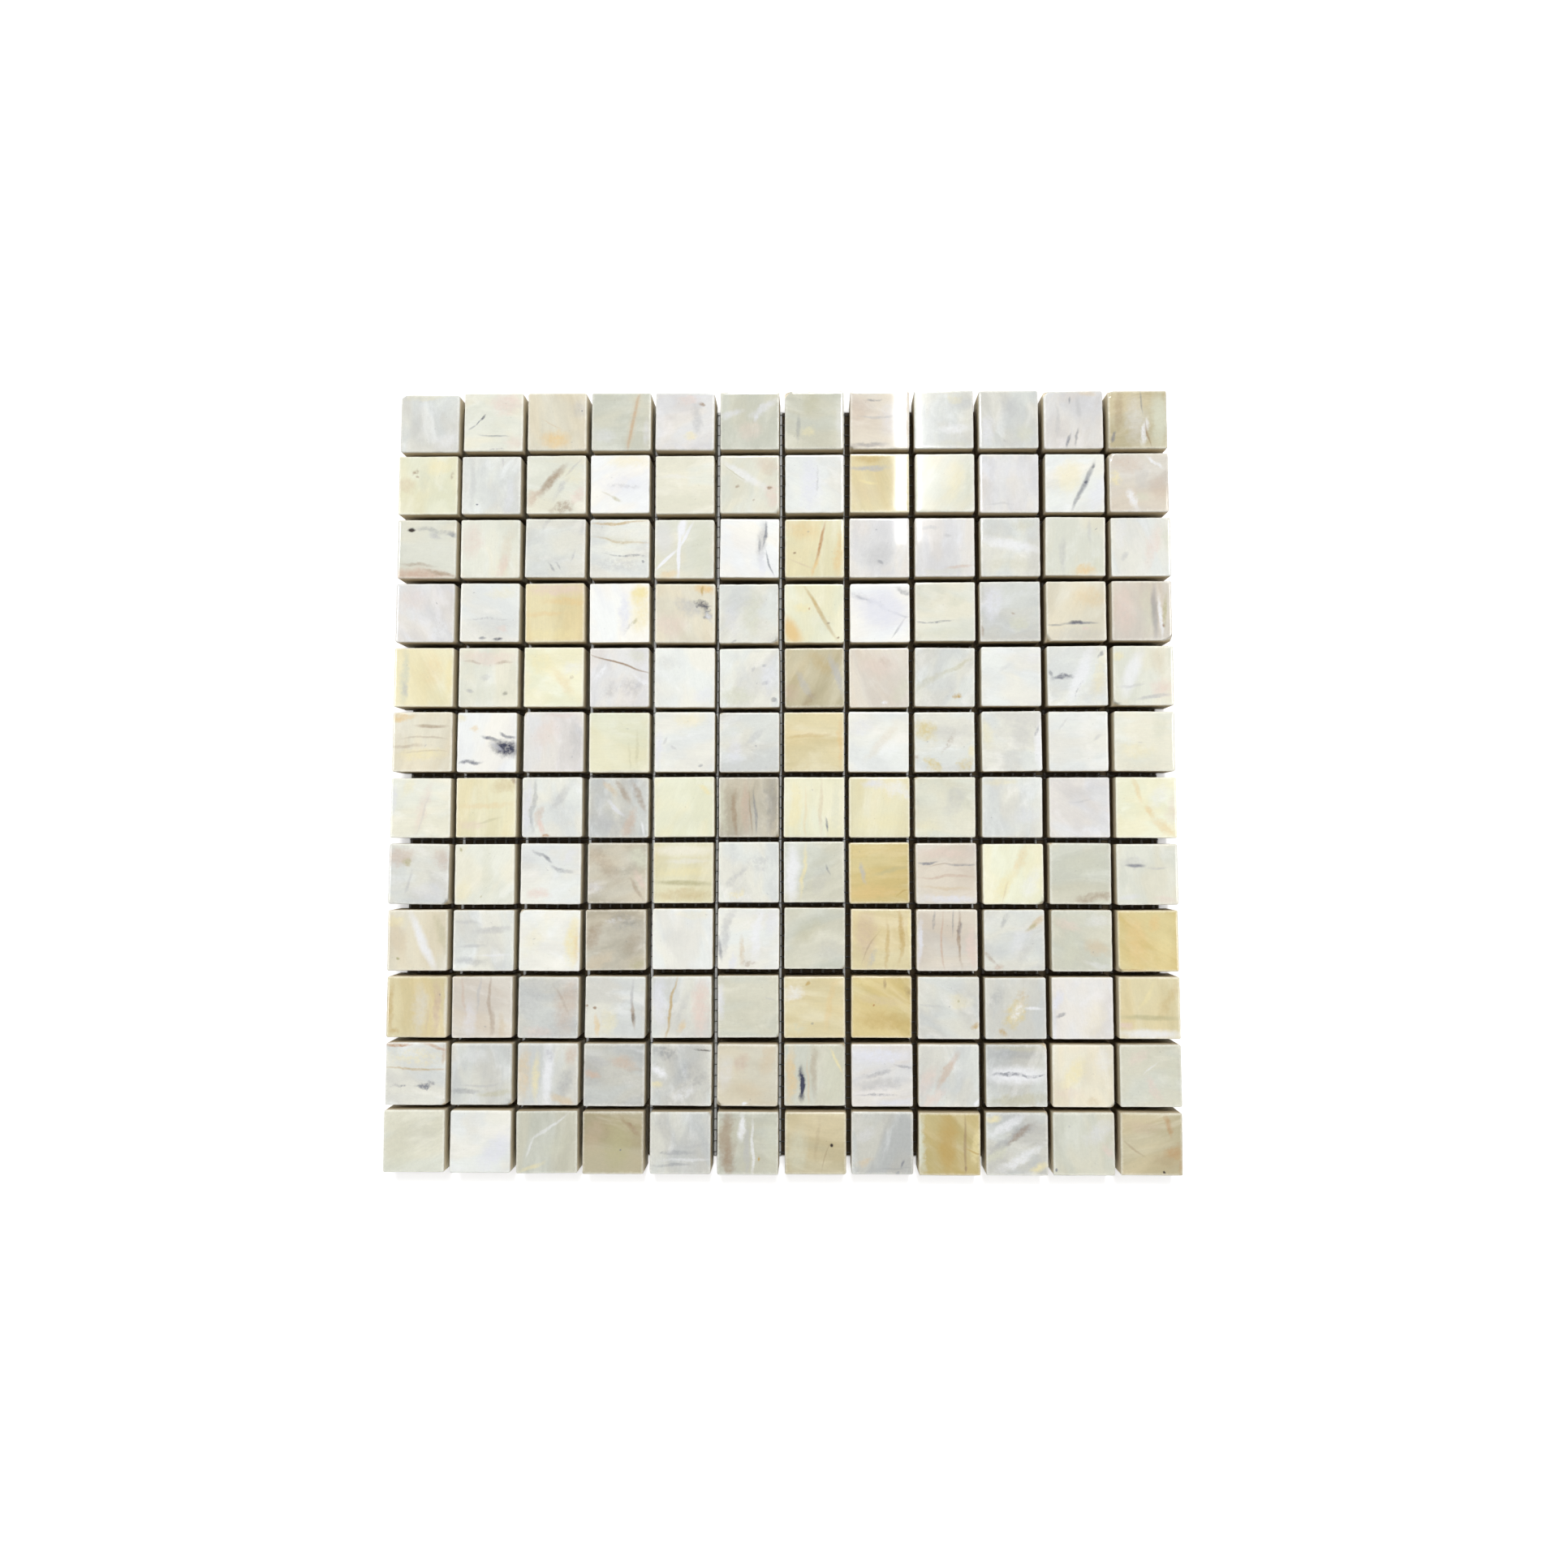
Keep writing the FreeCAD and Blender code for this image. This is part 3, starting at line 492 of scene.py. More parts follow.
5 ash 1: lead -10 -25 9 1.3 35 3, lead -30 -70 10 0.9 40 4, milk 20 -50 13 1 50 2,
  fog 50 -5 9 0.7 40 3
6 sage -2: bark -70 20 16 3.2 60 90 10, bark -55 -50 9 3 60 86 20, milk -22 50 8 2 85 90 20,
  milk 12 -20 15 0.9 70 89, fog -5 -20 14 1.3 60 90, dun 30 -50 1.4 0.8 90 80, moss 75 0 15 4 50 90
7 tan 2: soot 52 -5 0.9 1 130 0 0 30, bark 33 -45 7.5 0.4 45 75, moss -60 -20 12 5 60 85,
  bark 5 10 12 1.2 20 85
8 ash -2: lead 65 -60 2.2 0.8 75 70, lead 52 -90 1.2 0.9 85 60, fawn -60 -65 5 1.8 60 15 60,
  lead 40 -80 8 0.6 25 5, haze -50 30 6 3 30 30
9 gold -3: bark 50 0 16 0.8 60 90 10 40, bark 50 -75 1.4 0.8 80 90, dun -10 0 16 5 70 90 10,
  moss -92 0 16 2.4 100 92 0, wax 85 -10 9 2.4 60 80, dun 80 -25 5 0.5 70 -20
10 ash: lead -10 25 13 2.4 45 30, bark 10 35 9 1.6 50 38, milk -30 60 11 2.4 75 32 20,
  milk 10 -45 13 3.2 75 30, wax -80 75 5 2 70 20, wax 70 -80 5 2 70 25, moss -70 -30 7 2.4 80 35
11 sage: rose 75 -20 5 2 50 -60, haze 50 40 9 5 40 30, lead -88 -80 0.7 0.7 90 0 0
12 tan 1: rust 50 60 6 1.7 55 -75, rust 70 -25 5 3 50 20, rust 85 -70 4 1.4 35 80,
  bark -60 -15 7 0.6 45 -30, soot 35 -88 0.7 0.7 110 0 0, bark 40 -50 7 3 25, clay -30 50 9 4 30
"""
MARKS_PER_CHIP = 7

# Some chips get a dark speck more: the ranges of its middle, half length, half width, angle and
# strength.
SPECK_CHANCE = 0.4
SPECK = ((-80, 80), (-80, 80), (0.4, 1.0), (0.3, 0.6), (0, 180), (20, 50))


def mark(tint, u, v, long, wide, strength, angle=0, patchy=30, wavy=100):
    """A vein, cloud or stain as the list of chips has it, with shares for its hundredths."""
    return (tint, u / 100, v / 100, long, wide, strength / 100, angle, patchy / 100, wavy / 100)


NO_MARK = mark("milk", 0, 0, 1, 1, 0)


def read_chips():
    """Each chip's kind of stone, shade and marks, by row and column."""
    chips = {}
    for block in CHIP_LIST.replace(",\n", ",").split("row")[1:]:
        row, *lines = block.strip().splitlines()
        for line in lines:
            heading, listed = line.split(":")
            column, stone, *shade = heading.split()
            marks = []
            for words in listed.split(","):
                tint, *numbers = words.split()
                marks.append(mark(tint, *[float(number) for number in numbers]))
            chips[int(row), int(column)] = (stone, int(shade[0]) if shade else 0, marks)
    return chips


CHIP_BOOK = read_chips()


def with_speck(marks, chance):
    """The chip's own marks, with a speck more on some, and made up to their full number."""
    if len(marks) < MARKS_PER_CHIP and chance.random() < SPECK_CHANCE:
        u, v, long, wide, angle, strength = [chance.uniform(low, high) for low, high in SPECK]
        marks = marks + [mark("lead", u, v, long, wide, strength, angle)]
    return (marks + [NO_MARK] * MARKS_PER_CHIP)[:MARKS_PER_CHIP]


# Materials. A pattern's scale is per mm on an attribute and per metre on Object coordinates.

WHITE = (1.0, 1.0, 1.0, 1.0)
BLACK = (0.0, 0.0, 0.0, 1.0)

# The stone's figure: how far it bends, in mm, and how much the wisps show.
FIGURE_BEND = 14.0
WISP_SHARE = 0.75
COOL_TINT = tone(250, 252, 254)
WARM_TINT = tone(254, 252, 248)

# The outline of a mark: its slow wave in mm, and the fray of it, which grows with its width.
OUTLINE_WAVE = 4.0
OUTLINE_FRAY = 1.6
MOST_FRAY = 5.0

# How much the grain shows in the colour; the sparkle is painted glints of the crystals.
CRYSTAL_SHARE = 0.20
STREAK_SHARE = 0.10
SPARKLE_SHARE = 0.05
PIT_SHARE = 0.12

# The worn rim of a face, in mm from the chip's middle, and how pale it is painted: partly wear,
# partly a painted highlight along the edges.
RIM_FROM = 10.4
RIM_TO = 12.0
RIM_FRAY = 1.6
RIM_HIGHLIGHT_SHARE = 0.45
RIM_HIGHLIGHT_TONE = tone(255, 253, 244)

# Sawn stone begins between these depths below the face. The two sides that face front and back are
# painted browner, as painted shade.
SAWN_FROM = 0.3 * MM
SAWN_TO = 0.9 * MM
SAWN_SHARE = 0.8
SAWN_TONE = tone(254, 251, 242)
SHADED_SIDE_TONE = tone(212, 202, 182)
SAWN_TINT = tone(254, 246, 228)
KERF_DEPTH = 0.12 * MM


def drift(skin, vector, scale, detail, roughness=0.5):
    """A noise in all three directions, about zero."""
    colour = skin.noise(vector, scale, detail, roughness, "Color")
    return skin.vector("SUBTRACT", colour, (0.5, 0.5, 0.5))


def figured(skin, at, cloudy):
    """The body of the stone with soft clouds, pale wisps and a slow change of warmth."""
    bent = skin.vector("ADD", at, skin.scaled(drift(skin, at, 0.07, 2.0), FIGURE_BEND))
    clouds = skin.steps(skin.noise(bent, 0.075, 4.0), 0.38, 0.62)
    wisps = skin.steps(skin.noise(bent, 0.12, 5.0, 0.6, "Color"), 0.50, 0.66)
    body, cloud, wisp = [skin.attribute(name, "Color") for name in ("body", "clouds", "wisps")]
    colour = skin.mix(clouds * cloudy, body, cloud)
    colour = skin.mix(wisps * cloudy * WISP_SHARE, colour, wisp)
    elsewhere = skin.vector("ADD", bent, (70.0, 30.0, 0.0))
    warmth = skin.steps(skin.noise(elsewhere, 0.08, 2.0), 0.4, 0.6)
    return skin.mix(1.0, colour, skin.mix(warmth, COOL_TINT, WARM_TINT), "MULTIPLY")


def marked(skin, raw, colour):
    """Veins, clouds and stains over the stone: soft ellipses, wavy and patchy."""
    slow = drift(skin, raw, 85.0, 1.0)
    fine = drift(skin, raw, 420.0, 4.0, 0.65)
    patches = skin.steps(skin.noise(raw, 500.0, 4.0, 0.7), 0.42, 0.60)
    for number in range(MARKS_PER_CHIP):
        place = skin.attribute(f"mark_{number}_at")
        shape = skin.attribute(f"mark_{number}_shape")
        _, _, wavy = skin.parts(place)
        _, thin, patchy = skin.parts(shape)
        fray = (OUTLINE_FRAY / thin).at_most(MOST_FRAY) * wavy
        place = skin.vector("ADD", place, skin.scaled(slow, wavy * OUTLINE_WAVE))
        place = skin.vector("ADD", place, skin.scaled(fine, fray))
        flat_shape = skin.vector("MULTIPLY", shape, (1.0, 1.0, 0.0))
        off_middle = skin.vector("LENGTH", skin.vector("MULTIPLY", place, flat_shape))
        mask = skin.steps(off_middle, 1.0, 0.25)
        strength = skin.attribute(f"mark_{number}_tint", "Alpha") * (1 - patchy * patches)
        tint = skin.attribute(f"mark_{number}_tint", "Color")
        colour = skin.mix((mask * strength).clamped(), colour, tint)
    return colour


def marble():
    """Polished marble whose figure, stains and veins come from each chip's attributes."""
    skin = Finish("marble")
    at = skin.attribute("stone_at")
    raw = skin.node("ShaderNodeTexCoord", output="Object")
    cloudy, grainy, _ = skin.parts(skin.attribute("figure"))
    _, _, height = skin.parts(raw)
    colour = marked(skin, raw, figured(skin, at, cloudy))

    crystals = skin.noise(raw, 950.0, 3.0, 0.75)
    streaks = skin.noise(skin.vector("MULTIPLY", at, (0.35, 1.8, 1.8)), 1.0, 3.0, 0.65)
    # Painted glints: the sparkle lightens the colour of scattered crystals.
    sparkle = skin.steps(skin.noise(raw, 1500.0, 1.0), 0.64, 0.72)
    pits = skin.steps(skin.noise(raw, 900.0, 1.0), 0.27, 0.22)
    shade = 1 + (crystals - 0.5) * grainy * CRYSTAL_SHARE + (streaks - 0.5) * STREAK_SHARE
    shade = shade + sparkle * grainy * SPARKLE_SHARE - pits * PIT_SHARE
    shade = skin.node("ShaderNodeCombineColor", inputs={0: shade, 1: shade, 2: shade})
    colour = skin.mix(1.0, colour, shade, "MULTIPLY")

    along, down, _ = skin.parts(skin.vector("ABSOLUTE", skin.attribute("chip_at")))
    outward = along.at_least(down)
    # The rim is paler: partly wear, partly a painted highlight along the top edges. Its roughness
    # is wear.
    rim_wear_and_highlight = skin.steps(outward + (crystals - 0.5) * RIM_FRAY, RIM_FROM, RIM_TO)
    colour = skin.mix(rim_wear_and_highlight * RIM_HIGHLIGHT_SHARE, colour, RIM_HIGHLIGHT_TONE)
    sawn = 1 - skin.steps(height, FACE - SAWN_TO, FACE - SAWN_FROM)
    # Painted shade: the sides that face front and back are browner.
    painted_shade_sides = skin.steps(down - along, -0.2, 0.2) * skin.steps(outward, 10.8, 11.2)
    colour = skin.mix(sawn * SAWN_SHARE, colour, skin.mix(painted_shade_sides, SAWN_TONE, SHADED_SIDE_TONE))
    colour = skin.mix(sawn, colour, SAWN_TINT, "MULTIPLY")
    skin.set("Base Color", colour)
    skin.set("Roughness", 0.02 + 0.05 * crystals + sawn * 0.5 + rim_wear_and_highlight * 0.25)
    kerf = skin.noise(skin.vector("MULTIPLY", raw, (60.0, 60.0, 900.0)), 1.0, 3.0, 0.6)
    skin.bump(kerf * sawn + crystals * (0.03 + 0.2 * sawn), KERF_DEPTH, 0.5)
    skin.set("IOR", 1.5)
    return skin.material


# Glue stains and painted shade darken the net above this height, from this far off the middle of a
# joint.
GLUE_AND_SHADE_HEIGHT = (0.2 * MM, 0.26 * MM)
GLUE_AND_SHADE_OFF_JOINT = (1.2 * MM, 1.8 * MM)
GLUE_AND_SHADE_SHARE = 0.9
GLUE_AND_SHADE_TONE = tone(78, 68, 50)
FILAMENT_DEPTH = 0.05 * MM


def glass_fibre(name, colour, shine):
    """Bundled glass filaments in resin, darkened by glue stains and painted shade on the side that
    lies under the chips, and between the rows.
    """
    skin = Finish(name)
    across, _, height = skin.parts(skin.node("ShaderNodeTexCoord", output="Object"))
    share = across / STEP
    off_joint = share.math("PINGPONG", share, 0.5) * STEP
    glue_and_shade = skin.steps(off_joint, *GLUE_AND_SHADE_OFF_JOINT) * skin.steps(height, *GLUE_AND_SHADE_HEIGHT)
    along = skin.attribute("run")
    filaments = skin.noise(skin.vector("MULTIPLY", along, (0.35, 9.0, 9.0)), 1.0, 3.0, 0.6)
    resin = skin.noise(along, 0.8, 3.0, 0.6)
    dark = skin.mix(1.0, colour, tone(190, 190, 186), "MULTIPLY")
    colour = skin.mix(skin.steps(filaments, 0.35, 0.65) * 0.6 + resin * 0.3, colour, dark)
    # Partly glue stain, partly painted shade under the chips and in the joints between rows.
    skin.set("Base Color", skin.mix(glue_and_shade * GLUE_AND_SHADE_SHARE, colour, GLUE_AND_SHADE_TONE))
    skin.set("Roughness", shine + resin * 0.2)
    skin.bump(filaments, FILAMENT_DEPTH, 0.6)
    return skin.material


PAPER_TONE = tone(215, 215, 215)
PAPER_GLOW = (0.3, 0.3, 0.3, 1.0)
# Painted shade: the floor under the net is painted dark, with a soft edge.
UNDER_NET_PAINTED_SHADE = tone(80, 70, 54)
PAINTED_SHADE_BLUR = 0.5 * MM


def floor_paper():
    """A white studio floor: plain white to the camera, painted dark under the net as painted shade
    where the net keeps light off it.
    """
    skin = Finish("studio_floor")
    seen = skin.node("ShaderNodeLightPath", output="Is Camera Ray")
    here = skin.node("ShaderNodeTexCoord", output="Object")
    along, down, _ = skin.parts(skin.vector("ABSOLUTE", here))
    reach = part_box(PAIR_NODES[0])[1][0]
    off_middle = along.at_least(down)
    outside_painted_shade = skin.steps(off_middle, reach - PAINTED_SHADE_BLUR, reach + PAINTED_SHADE_BLUR)
    paper = skin.mix(seen, PAPER_TONE, WHITE)
    skin.set("Base Color", skin.mix(outside_painted_shade, UNDER_NET_PAINTED_SHADE, paper))
    skin.set("Roughness", 0.9)
    skin.set("Specular IOR Level", 0.0)
    skin.set("Emission Color", skin.mix(seen * outside_painted_shade, BLACK, PAPER_GLOW))
    skin.set("Emission Strength", 1.0)
    return skin.material


# Chips. Their easing, crown, wear, flakes and trim, in mm.

CORNER_EASE = (0.45, 0.95)
ARRIS_EASE = (0.45, 0.65)
ARRIS_TO_CORNER = 0.8
CORNER_SEGMENTS = 4
ARRIS_SEGMENTS = 3
EDGE_CUTS = 9
CROWN_WIDTH = 0.75
CROWN_DROP = 0.08
ARRIS_WEAR = 0.16
WEAR_DEPTH = 1.0
KNOCK_CHANCE = 0.22
KNOCK_REACH = (0.9, 1.6)
KNOCK_SLANT = ((0.5, 1), (0.5, 1), (0.6, 1.2))
SIDE_TRIM = 0.12
SIDE_SPREAD = 0.10

# How a chip's shade and the angle of its bed, in degrees, vary.
SHADE_SPREAD = 0.008
BED_SPREAD = 14

# The lay of the chips, in mm and degrees.
LAY_SPREAD = 0.10
TURN_SPREAD = 0.25
LAY_PULL = 0.6
LAY_PUSH = 0.35
LAY_TURN = 95
MIDDLE_GAP = 0.2


def hand_laid(x, y):
    """How far a chip lies off its place: chips near the middle are pulled in, those further out
    are pushed out, and the two middle joints are a little wide."""
    radius = math.hypot(x, y) / MM
    reach = LAY_PULL if radius < LAY_TURN else LAY_PUSH
    wave = Vector((x, y, 0)) * (-reach * math.sin(math.pi * radius / LAY_TURN) / radius)
    return wave + Vector((x > 0, -(y < 0), 0)) * MIDDLE_GAP * MM


def ease(bm, edges, width, segments):
    """Round edges off."""
    bmesh.ops.bevel(bm, geom=edges, offset=width * MM, affect="EDGES", segments=segments,
                    profile=0.5, material=-1)


def chip_block(chance):
    """One chip about its own middle, from its back at z 0 to its face, in metres."""
    side_x = CHIP_SIDE + chance.gauss(-SIDE_TRIM, SIDE_SPREAD) * MM
    side_y = CHIP_SIDE + chance.gauss(-SIDE_TRIM, SIDE_SPREAD) * MM
    thick = FACE - BACK
    bm = bmesh.new()
    bmesh.ops.create_cube(bm, size=1.0)
    bmesh.ops.scale(bm, verts=bm.verts, vec=(side_x, side_y, thick))
    bmesh.ops.translate(bm, verts=bm.verts, vec=(0, 0, thick / 2))
    upright = [e for e in bm.edges if abs(e.verts[0].co.z - e.verts[1].co.z) > thick / 2]
    corner = chance.uniform(*CORNER_EASE)
    ease(bm, upright, corner, CORNER_SEGMENTS)
    long_edges = [e for e in bm.edges if e.calc_length() > side_x / 2]
    bmesh.ops.subdivide_edges(bm, edges=long_edges, cuts=EDGE_CUTS, use_grid_fill=False)
    rim = [e for e in bm.edges if all(abs(v.co.z - thick) < 0.01 * MM for v in e.verts)]
    ease(bm, rim, min(chance.uniform(*ARRIS_EASE), ARRIS_TO_CORNER * corner), ARRIS_SEGMENTS)
    crown_face(bm)
    wear_arris(bm, thick, chance)
    if chance.random() < KNOCK_CHANCE:
        knock_corner(bm, side_x, side_y, thick, chance)
    return bm


def crown_face(bm):
    """Polishing rounds a face off a little towards its edges."""
    face = max(bm.faces, key=lambda face: face.calc_center_median().z)
    outer = face.verts[:]
    middle = bmesh.ops.extrude_discrete_faces(bm, faces=[face])["faces"][0]
    share = 1 - 2 * CROWN_WIDTH * MM / CHIP_SIDE
    bmesh.ops.scale(bm, verts=middle.verts, vec=(share, share, 1))
    bmesh.ops.translate(bm, verts=outer, vec=(0, 0, -CROWN_DROP * MM))


def wear_arris(bm, thick, chance):
    """Rub the top arris unevenly: its rings move in by a broad noise and a finer one."""
    seed = Vector((chance.uniform(0, 90), chance.uniform(0, 90), 0))
    for vert in bm.verts:
        depth = (thick - vert.co.z) / MM
        if depth < WEAR_DEPTH:
            flat = Vector((vert.co.x, vert.co.y, 0))
            broad = noise.noise(seed + flat / MM * 0.35)
            finer = noise.noise(seed + flat / MM * 1.1)
            rub = max(0.0, broad) + 0.35 * finer
            vert.co -= flat.normalized() * rub * ARRIS_WEAR * MM * (1.2 - depth)


def knock_corner(bm, side_x, side_y, thick, chance):
    """Break a small flake off one top corner."""
    across = chance.choice([-1, 1])
    down = chance.choice([-1, 1])
    slant = [chance.uniform(low, high) for low, high in KNOCK_SLANT]
    normal = Vector((across * slant[0], down * slant[1], slant[2]))
    corner = Vector((across * side_x / 2, down * side_y / 2, thick))
    point = corner - normal.normalized() * (chance.uniform(*KNOCK_REACH) * MM)
    geom = bm.verts[:] + bm.edges[:] + bm.faces[:]
    cut = bmesh.ops.bisect_plane(bm, geom=geom, plane_co=point, plane_no=normal, clear_outer=True)
    open_edges = [e for e in cut["geom_cut"] if isinstance(e, bmesh.types.BMEdge)]
    bmesh.ops.contextual_create(bm, geom=open_edges)


def chip_layers(bm):
    """The vertex attributes that the marble reads."""
    vectors = ["stone_at", "chip_at", "figure"]
    colours = ["body", "clouds", "wisps"]
    for number in range(MARKS_PER_CHIP):
        vectors += [f"mark_{number}_at", f"mark_{number}_shape"]
        colours.append(f"mark_{number}_tint")
    layers = {name: bm.verts.layers.float_vector.new(name) for name in vectors}
    layers.update({name: bm.verts.layers.float_color.new(name) for name in colours})
    return layers


def dress_chip(bm, layers, row, column, chance):
    """Give every vertex of a chip about its own middle the chip's colours, grain and marks."""
    stone, shade, own_marks = CHIP_BOOK[row, column]
    body, clouds, wisps, cloudy, stretch, grainy = STONES[stone]
    lift = 1 + SHADE_STEP * shade + chance.gauss(0, SHADE_SPREAD)
    fixed = {"figure": (cloudy, grainy, 0)}
    for name, colour in (("body", body), ("clouds", clouds), ("wisps", wisps)):
        fixed[name] = [lift * level for level in tone(*colour)[:3]] + [1]
    bed = chance.choice([0, 90]) + chance.gauss(0, BED_SPREAD)
    turn = Matrix.Rotation(math.radians(-bed), 3, "Z")
    squeeze = Matrix.Diagonal((1 / stretch, 1, 1))
    seed = Vector([chance.uniform(0, 900) for _ in range(3)])
    marks = []
    for number, entry in enumerate(with_speck(own_marks, chance)):
        tint, u, v, long, wide, strength, angle, patchy, wavy = entry
        middle = Vector((u, v, 0)) * (CHIP_SIDE / MM / 2)
        aim = Matrix.Rotation(math.radians(-angle), 3, "Z")
        marks.append((number, middle, aim, wavy))
        fixed[f"mark_{number}_shape"] = (1 / long, 1 / wide, patchy)
        fixed[f"mark_{number}_tint"] = list(tone(*TINTS[tint])[:3]) + [strength]
    for vert in bm.verts:
        here = vert.co / MM
        vert[layers["stone_at"]] = squeeze @ (turn @ here) + seed
        vert[layers["chip_at"]] = here
        for name, value in fixed.items():
            vert[layers[name]] = value
        for number, middle, aim, wavy in marks:
            place = aim @ (here - middle)
            vert[layers[f"mark_{number}_at"]] = (place.x, place.y, wavy)


def chip_row(row, material):
    """A row of chips as one piece in the place of its node."""
    whole = bmesh.new()
    chip_layers(whole)
    for column in range(1, CHIPS + 1):
        chance = random.Random(row * 100 + column)
        bm = chip_block(chance)
        dress_chip(bm, chip_layers(bm), row, column, chance)
        x = column_middle(column)
        y = row_middle(row)
        spot = Vector((x, y, BACK)) + hand_laid(x, y)
        spot += Vector((chance.gauss(0, LAY_SPREAD), chance.gauss(0, LAY_SPREAD), 0)) * MM
        turn = math.radians(chance.gauss(0, TURN_SPREAD))
        place = Matrix.Translation(spot) @ Matrix.Rotation(turn, 4, "Z")
        bmesh.ops.transform(bm, verts=bm.verts, matrix=place)
        join(whole, bm)
    node = ROW_NODES[row - 1]
    piece = finished_piece(whole, f"marble_{node}", material)
    piece.data.shade_smooth()
    flat_faces = piece.modifiers.new("flat_faces", "WEIGHTED_NORMAL")
    flat_faces.weight = 50
    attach(piece, "root")
    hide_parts(node)


def join(whole, bm):
    """Add one bmesh to another, attributes included."""
    mesh = bpy.data.meshes.new("joining")
    bm.to_mesh(mesh)
    bm.free()
    whole.from_mesh(mesh)
    bpy.data.meshes.remove(mesh)


def finished_piece(bm, name, material):
    """An object at the origin that holds the bmesh."""
    mesh = bpy.data.meshes.new(name)
    bm.to_mesh(mesh)
    bm.free()
    mesh.materials.append(material)
    piece = bpy.data.objects.new(name, mesh)
    bpy.context.scene.collection.objects.link(piece)
    return piece


# Net.

PITCH = 4.2 * MM
ROVING_WIDTH = 1.15 * MM
STRAND_WIDTH = 0.45 * MM
STRAND_SHARE = 0.8
YARN_STEPS = 4
YARN_SIDES = 6
STRAND_SIDES = 5
PINCH = 0.14
STRAND_SWING = 0.18 * MM
WANDER = 0.18 * MM
NET_SHIFT = -0.8 * MM

# From one yarn to the next the filaments' pattern moves on this far.
PATTERN_SHIFT = 20.0


def yarn_count(node, axis, width):
    """How many yarns a band of the net holds, and the first one's middle."""
    low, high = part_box(node)
    count = round((high[axis] - low[axis] - width) / PITCH) + 1
    return count, low[axis] + width / 2


def yarn(length, sides, width, height, bend):
    """A yarn along +X about the origin: bend gives its y, z and width share at each x."""
    steps = round(length / PITCH * YARN_STEPS)
    bm = bmesh.new()
    run = bm.verts.layers.float_vector.new("run")
    ring = bmesh.ops.create_circle(bm, cap_ends=False, segments=sides, radius=0.5)["verts"]
    bmesh.ops.rotate(bm, verts=ring, matrix=Matrix.Rotation(math.radians(90), 3, "Y"))
    bmesh.ops.scale(bm, verts=ring, vec=(1, width, height))
    rings = [ring]
    edges = bm.edges[:]
    for _ in range(steps):
        grown = bmesh.ops.extrude_edge_only(bm, edges=edges)["geom"]
        edges = [item for item in grown if isinstance(item, bmesh.types.BMEdge)]
        rings.append([item for item in grown if isinstance(item, bmesh.types.BMVert)])
    for number, ring in enumerate(rings):
        x = -length / 2 + length * number / steps
        y, z, share = bend(x)
        for vert in ring:
            vert[run] = Vector((x, vert.co.y, vert.co.z)) / MM
            vert.co = Vector((x, y + vert.co.y * share, z + vert.co.z))
    bmesh.ops.holes_fill(bm, edges=[edge for edge in bm.edges if edge.is_boundary], sides=sides)
    bmesh.ops.recalc_face_normals(bm, faces=bm.faces)
    mesh = bpy.data.meshes.new("yarn")
    bm.to_mesh(mesh)
    bm.free()
    return mesh


def lay_yarns(name, meshes, node, axis, width, material, low_z):
    """Copies of the yarn meshes across one band, each with a little wander of its own."""
    whole = bmesh.new()
    run = whole.verts.layers.float_vector.new("run")
    count, first = yarn_count(node, axis, width)
    for number in range(count):
        across = first + number * PITCH
        for mesh in meshes:
            before = len(whole.verts)
            whole.from_mesh(mesh)
            whole.verts.ensure_lookup_table()
            for vert in whole.verts[before:]:
                along = vert.co.x
                sway = noise.noise(Vector((along / MM * 0.02, across / MM * 3.1, 0))) * WANDER
                z = vert.co.z + low_z
                vert[run] = vert[run] + Vector((0, 0, PATTERN_SHIFT * number))
                if axis == 0:
                    vert.co = Vector((across - vert.co.y + sway + NET_SHIFT, along, z))
                else:
                    vert.co = Vector((along, across + vert.co.y + sway, z))
    piece = finished_piece(whole, name, material)
    piece.data.shade_smooth()
    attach(piece, "root")
    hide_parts(node)


def net():
    """The leno net: flat rovings front to back between pairs of strands left to right."""
    low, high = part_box(PAIR_NODES[0])
    width = high[0] - low[0]
    roving_low, roving_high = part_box(ROVING_NODES[0])
    depth = roving_high[1] - roving_low[1]
    strand_thick = roving_low[2] - low[2]
    roving_thick = roving_high[2] - roving_low[2]
    rise = (roving_thick + strand_thick) / 2

    def roving_bend(x):
        held = 0.5 + 0.5 * math.cos(2 * math.pi * x / PITCH)
        return 0.0, 0.0, 1 - PINCH * held ** 3

    def strand_bend(side):
        def bend(x):
            swing = math.cos(math.pi * x / PITCH)
            return side * swing * STRAND_SWING, side * rise * abs(swing) ** 0.5, 1.0
        return bend

    middle = (roving_low[2] + roving_high[2]) / 2
    strand_width = STRAND_SHARE * STRAND_WIDTH
    roving = yarn(depth, YARN_SIDES, ROVING_WIDTH, roving_thick, roving_bend)
    strands = [yarn(width, STRAND_SIDES, strand_width, strand_thick, strand_bend(side))
               for side in (-1, 1)]
    white_yarn = glass_fibre("glass_roving", tone(235, 237, 238), 0.35)
    # The strands are given a dark grey, far darker than the white rovings.
    pair_yarn = glass_fibre("dark_grey_strand", tone(96, 95, 92), 0.3)
    for node in ROVING_NODES:
        lay_yarns(f"roving_{node}", [roving], node, 0, ROVING_WIDTH, white_yarn, middle)
    for node in PAIR_NODES:
        lay_yarns(f"strands_{node}", strands, node, 1, STRAND_WIDTH, pair_yarn, middle)


# Studio.

CAMERA_AT = Vector((0.0134, -0.0253, FACE + 0.3213))
CAMERA_AIM = Vector((0.0101, -0.0100, FACE))
PHOTO_SIDE = 1932
FOCAL_PX = 1027.0
AXIS_PX = (995.0, 985.9)
SENSOR = 36.0

FLOOR_REACH = 6.0
SKY_STRENGTH = 0.24

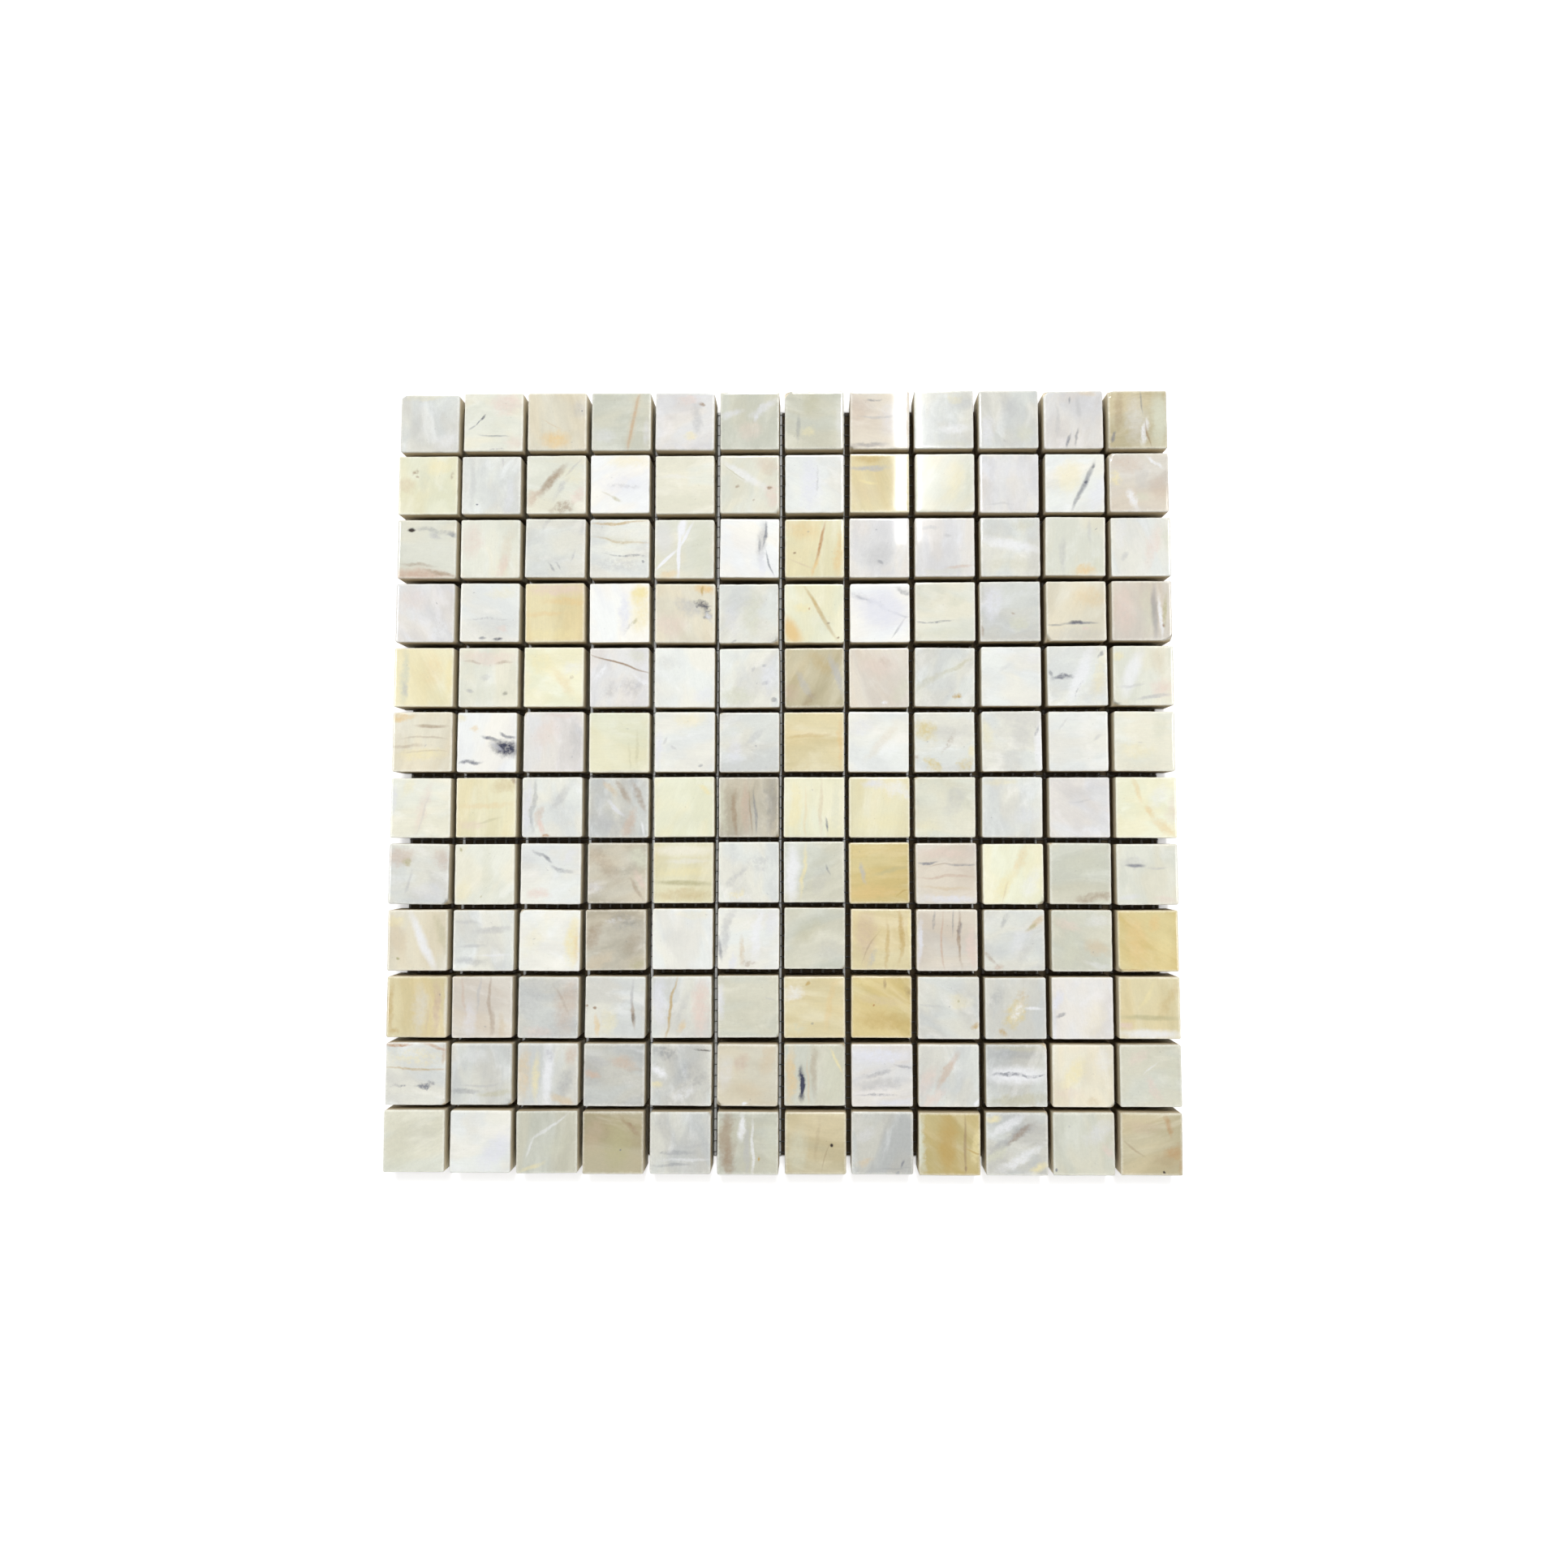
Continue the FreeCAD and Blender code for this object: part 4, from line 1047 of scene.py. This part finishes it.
# Area lamps: name, place, the point it looks at, its two sides and its power.
LAMPS = [
    ("far_window", (0.05, 3.35, 4.0), (0, 0, 0), (1.1, 1.4), 100.0),
    ("near_window", (0.2, -2.1, 3.0), (0, 0, 0), (3.0, 0.9), 15.0),
    ("left_window", (-2.3, 0.3, 3.2), (0, 0, 0), (2.4, 0.3), 31.0),
    ("right_window", (1.9, 0.3, 3.2), (0, 0, 0), (2.4, 0.3), 23.0),
    ("tube", (0.227, 1.9, 1.6), (0.227, 1.9, 0), (0.045, 2.46), 16.0),
    ("tube_glow", (0.270, 1.9, 1.6), (0.270, 1.9, 0), (0.04, 2.46), 1.1),
    ("tube_haze", (0.315, 1.9, 1.6), (0.315, 1.9, 0), (0.05, 2.46), 0.5),
]


def camera():
    """The photograph's view: a little right of and below the middle, almost straight down."""
    lens = bpy.data.cameras.new("camera")
    lens.sensor_width = SENSOR
    lens.lens = SENSOR * FOCAL_PX / PHOTO_SIDE
    lens.shift_x = (PHOTO_SIDE / 2 - AXIS_PX[0]) / PHOTO_SIDE
    lens.shift_y = (AXIS_PX[1] - PHOTO_SIDE / 2) / PHOTO_SIDE
    lens.clip_start = 0.01
    ahead = (CAMERA_AIM - CAMERA_AT).normalized()
    right = ahead.cross(Vector((0, 1, 0))).normalized()
    turn = Matrix((right, right.cross(ahead), -ahead)).transposed()
    eye = bpy.data.objects.new("camera", lens)
    eye.matrix_world = Matrix.Translation(CAMERA_AT) @ turn.to_4x4()
    bpy.context.scene.collection.objects.link(eye)
    bpy.context.scene.camera = eye


def area_lamp(name, place, aim, size, power):
    """A rectangular soft lamp that looks at a point."""
    lamp = bpy.data.lights.new(name, "AREA")
    lamp.shape = "RECTANGLE"
    lamp.size, lamp.size_y = size
    lamp.energy = power
    light = bpy.data.objects.new(name, lamp)
    light.location = place
    light.rotation_euler = (Vector(aim) - Vector(place)).to_track_quat("-Z", "Y").to_euler()
    bpy.context.scene.collection.objects.link(light)


def sky():
    """An even pale sky, which the camera sees as plain white."""
    world = bpy.data.worlds.new("studio")
    world.use_nodes = True
    nodes = world.node_tree.nodes
    seen = Wire(nodes.new("ShaderNodeLightPath").outputs["Is Camera Ray"])
    glow = nodes["Background"].inputs
    connect(glow["Color"], WHITE)
    connect(glow["Strength"], SKY_STRENGTH + seen * (1 - SKY_STRENGTH))
    bpy.context.scene.world = world


def studio():
    """A white floor, the sky, a window on each side and a narrow tube with its glow."""
    bm = bmesh.new()
    bmesh.ops.create_grid(bm, x_segments=1, y_segments=1, size=FLOOR_REACH)
    ground = finished_piece(bm, "studio_floor", floor_paper())
    sky()
    for lamp in LAMPS:
        area_lamp(*lamp)


def main():
    bpy.context.scene.view_settings.view_transform = "Standard"
    camera()
    studio()
    stone = marble()
    for row in range(1, CHIPS + 1):
        chip_row(row, stone)
    net()


main()
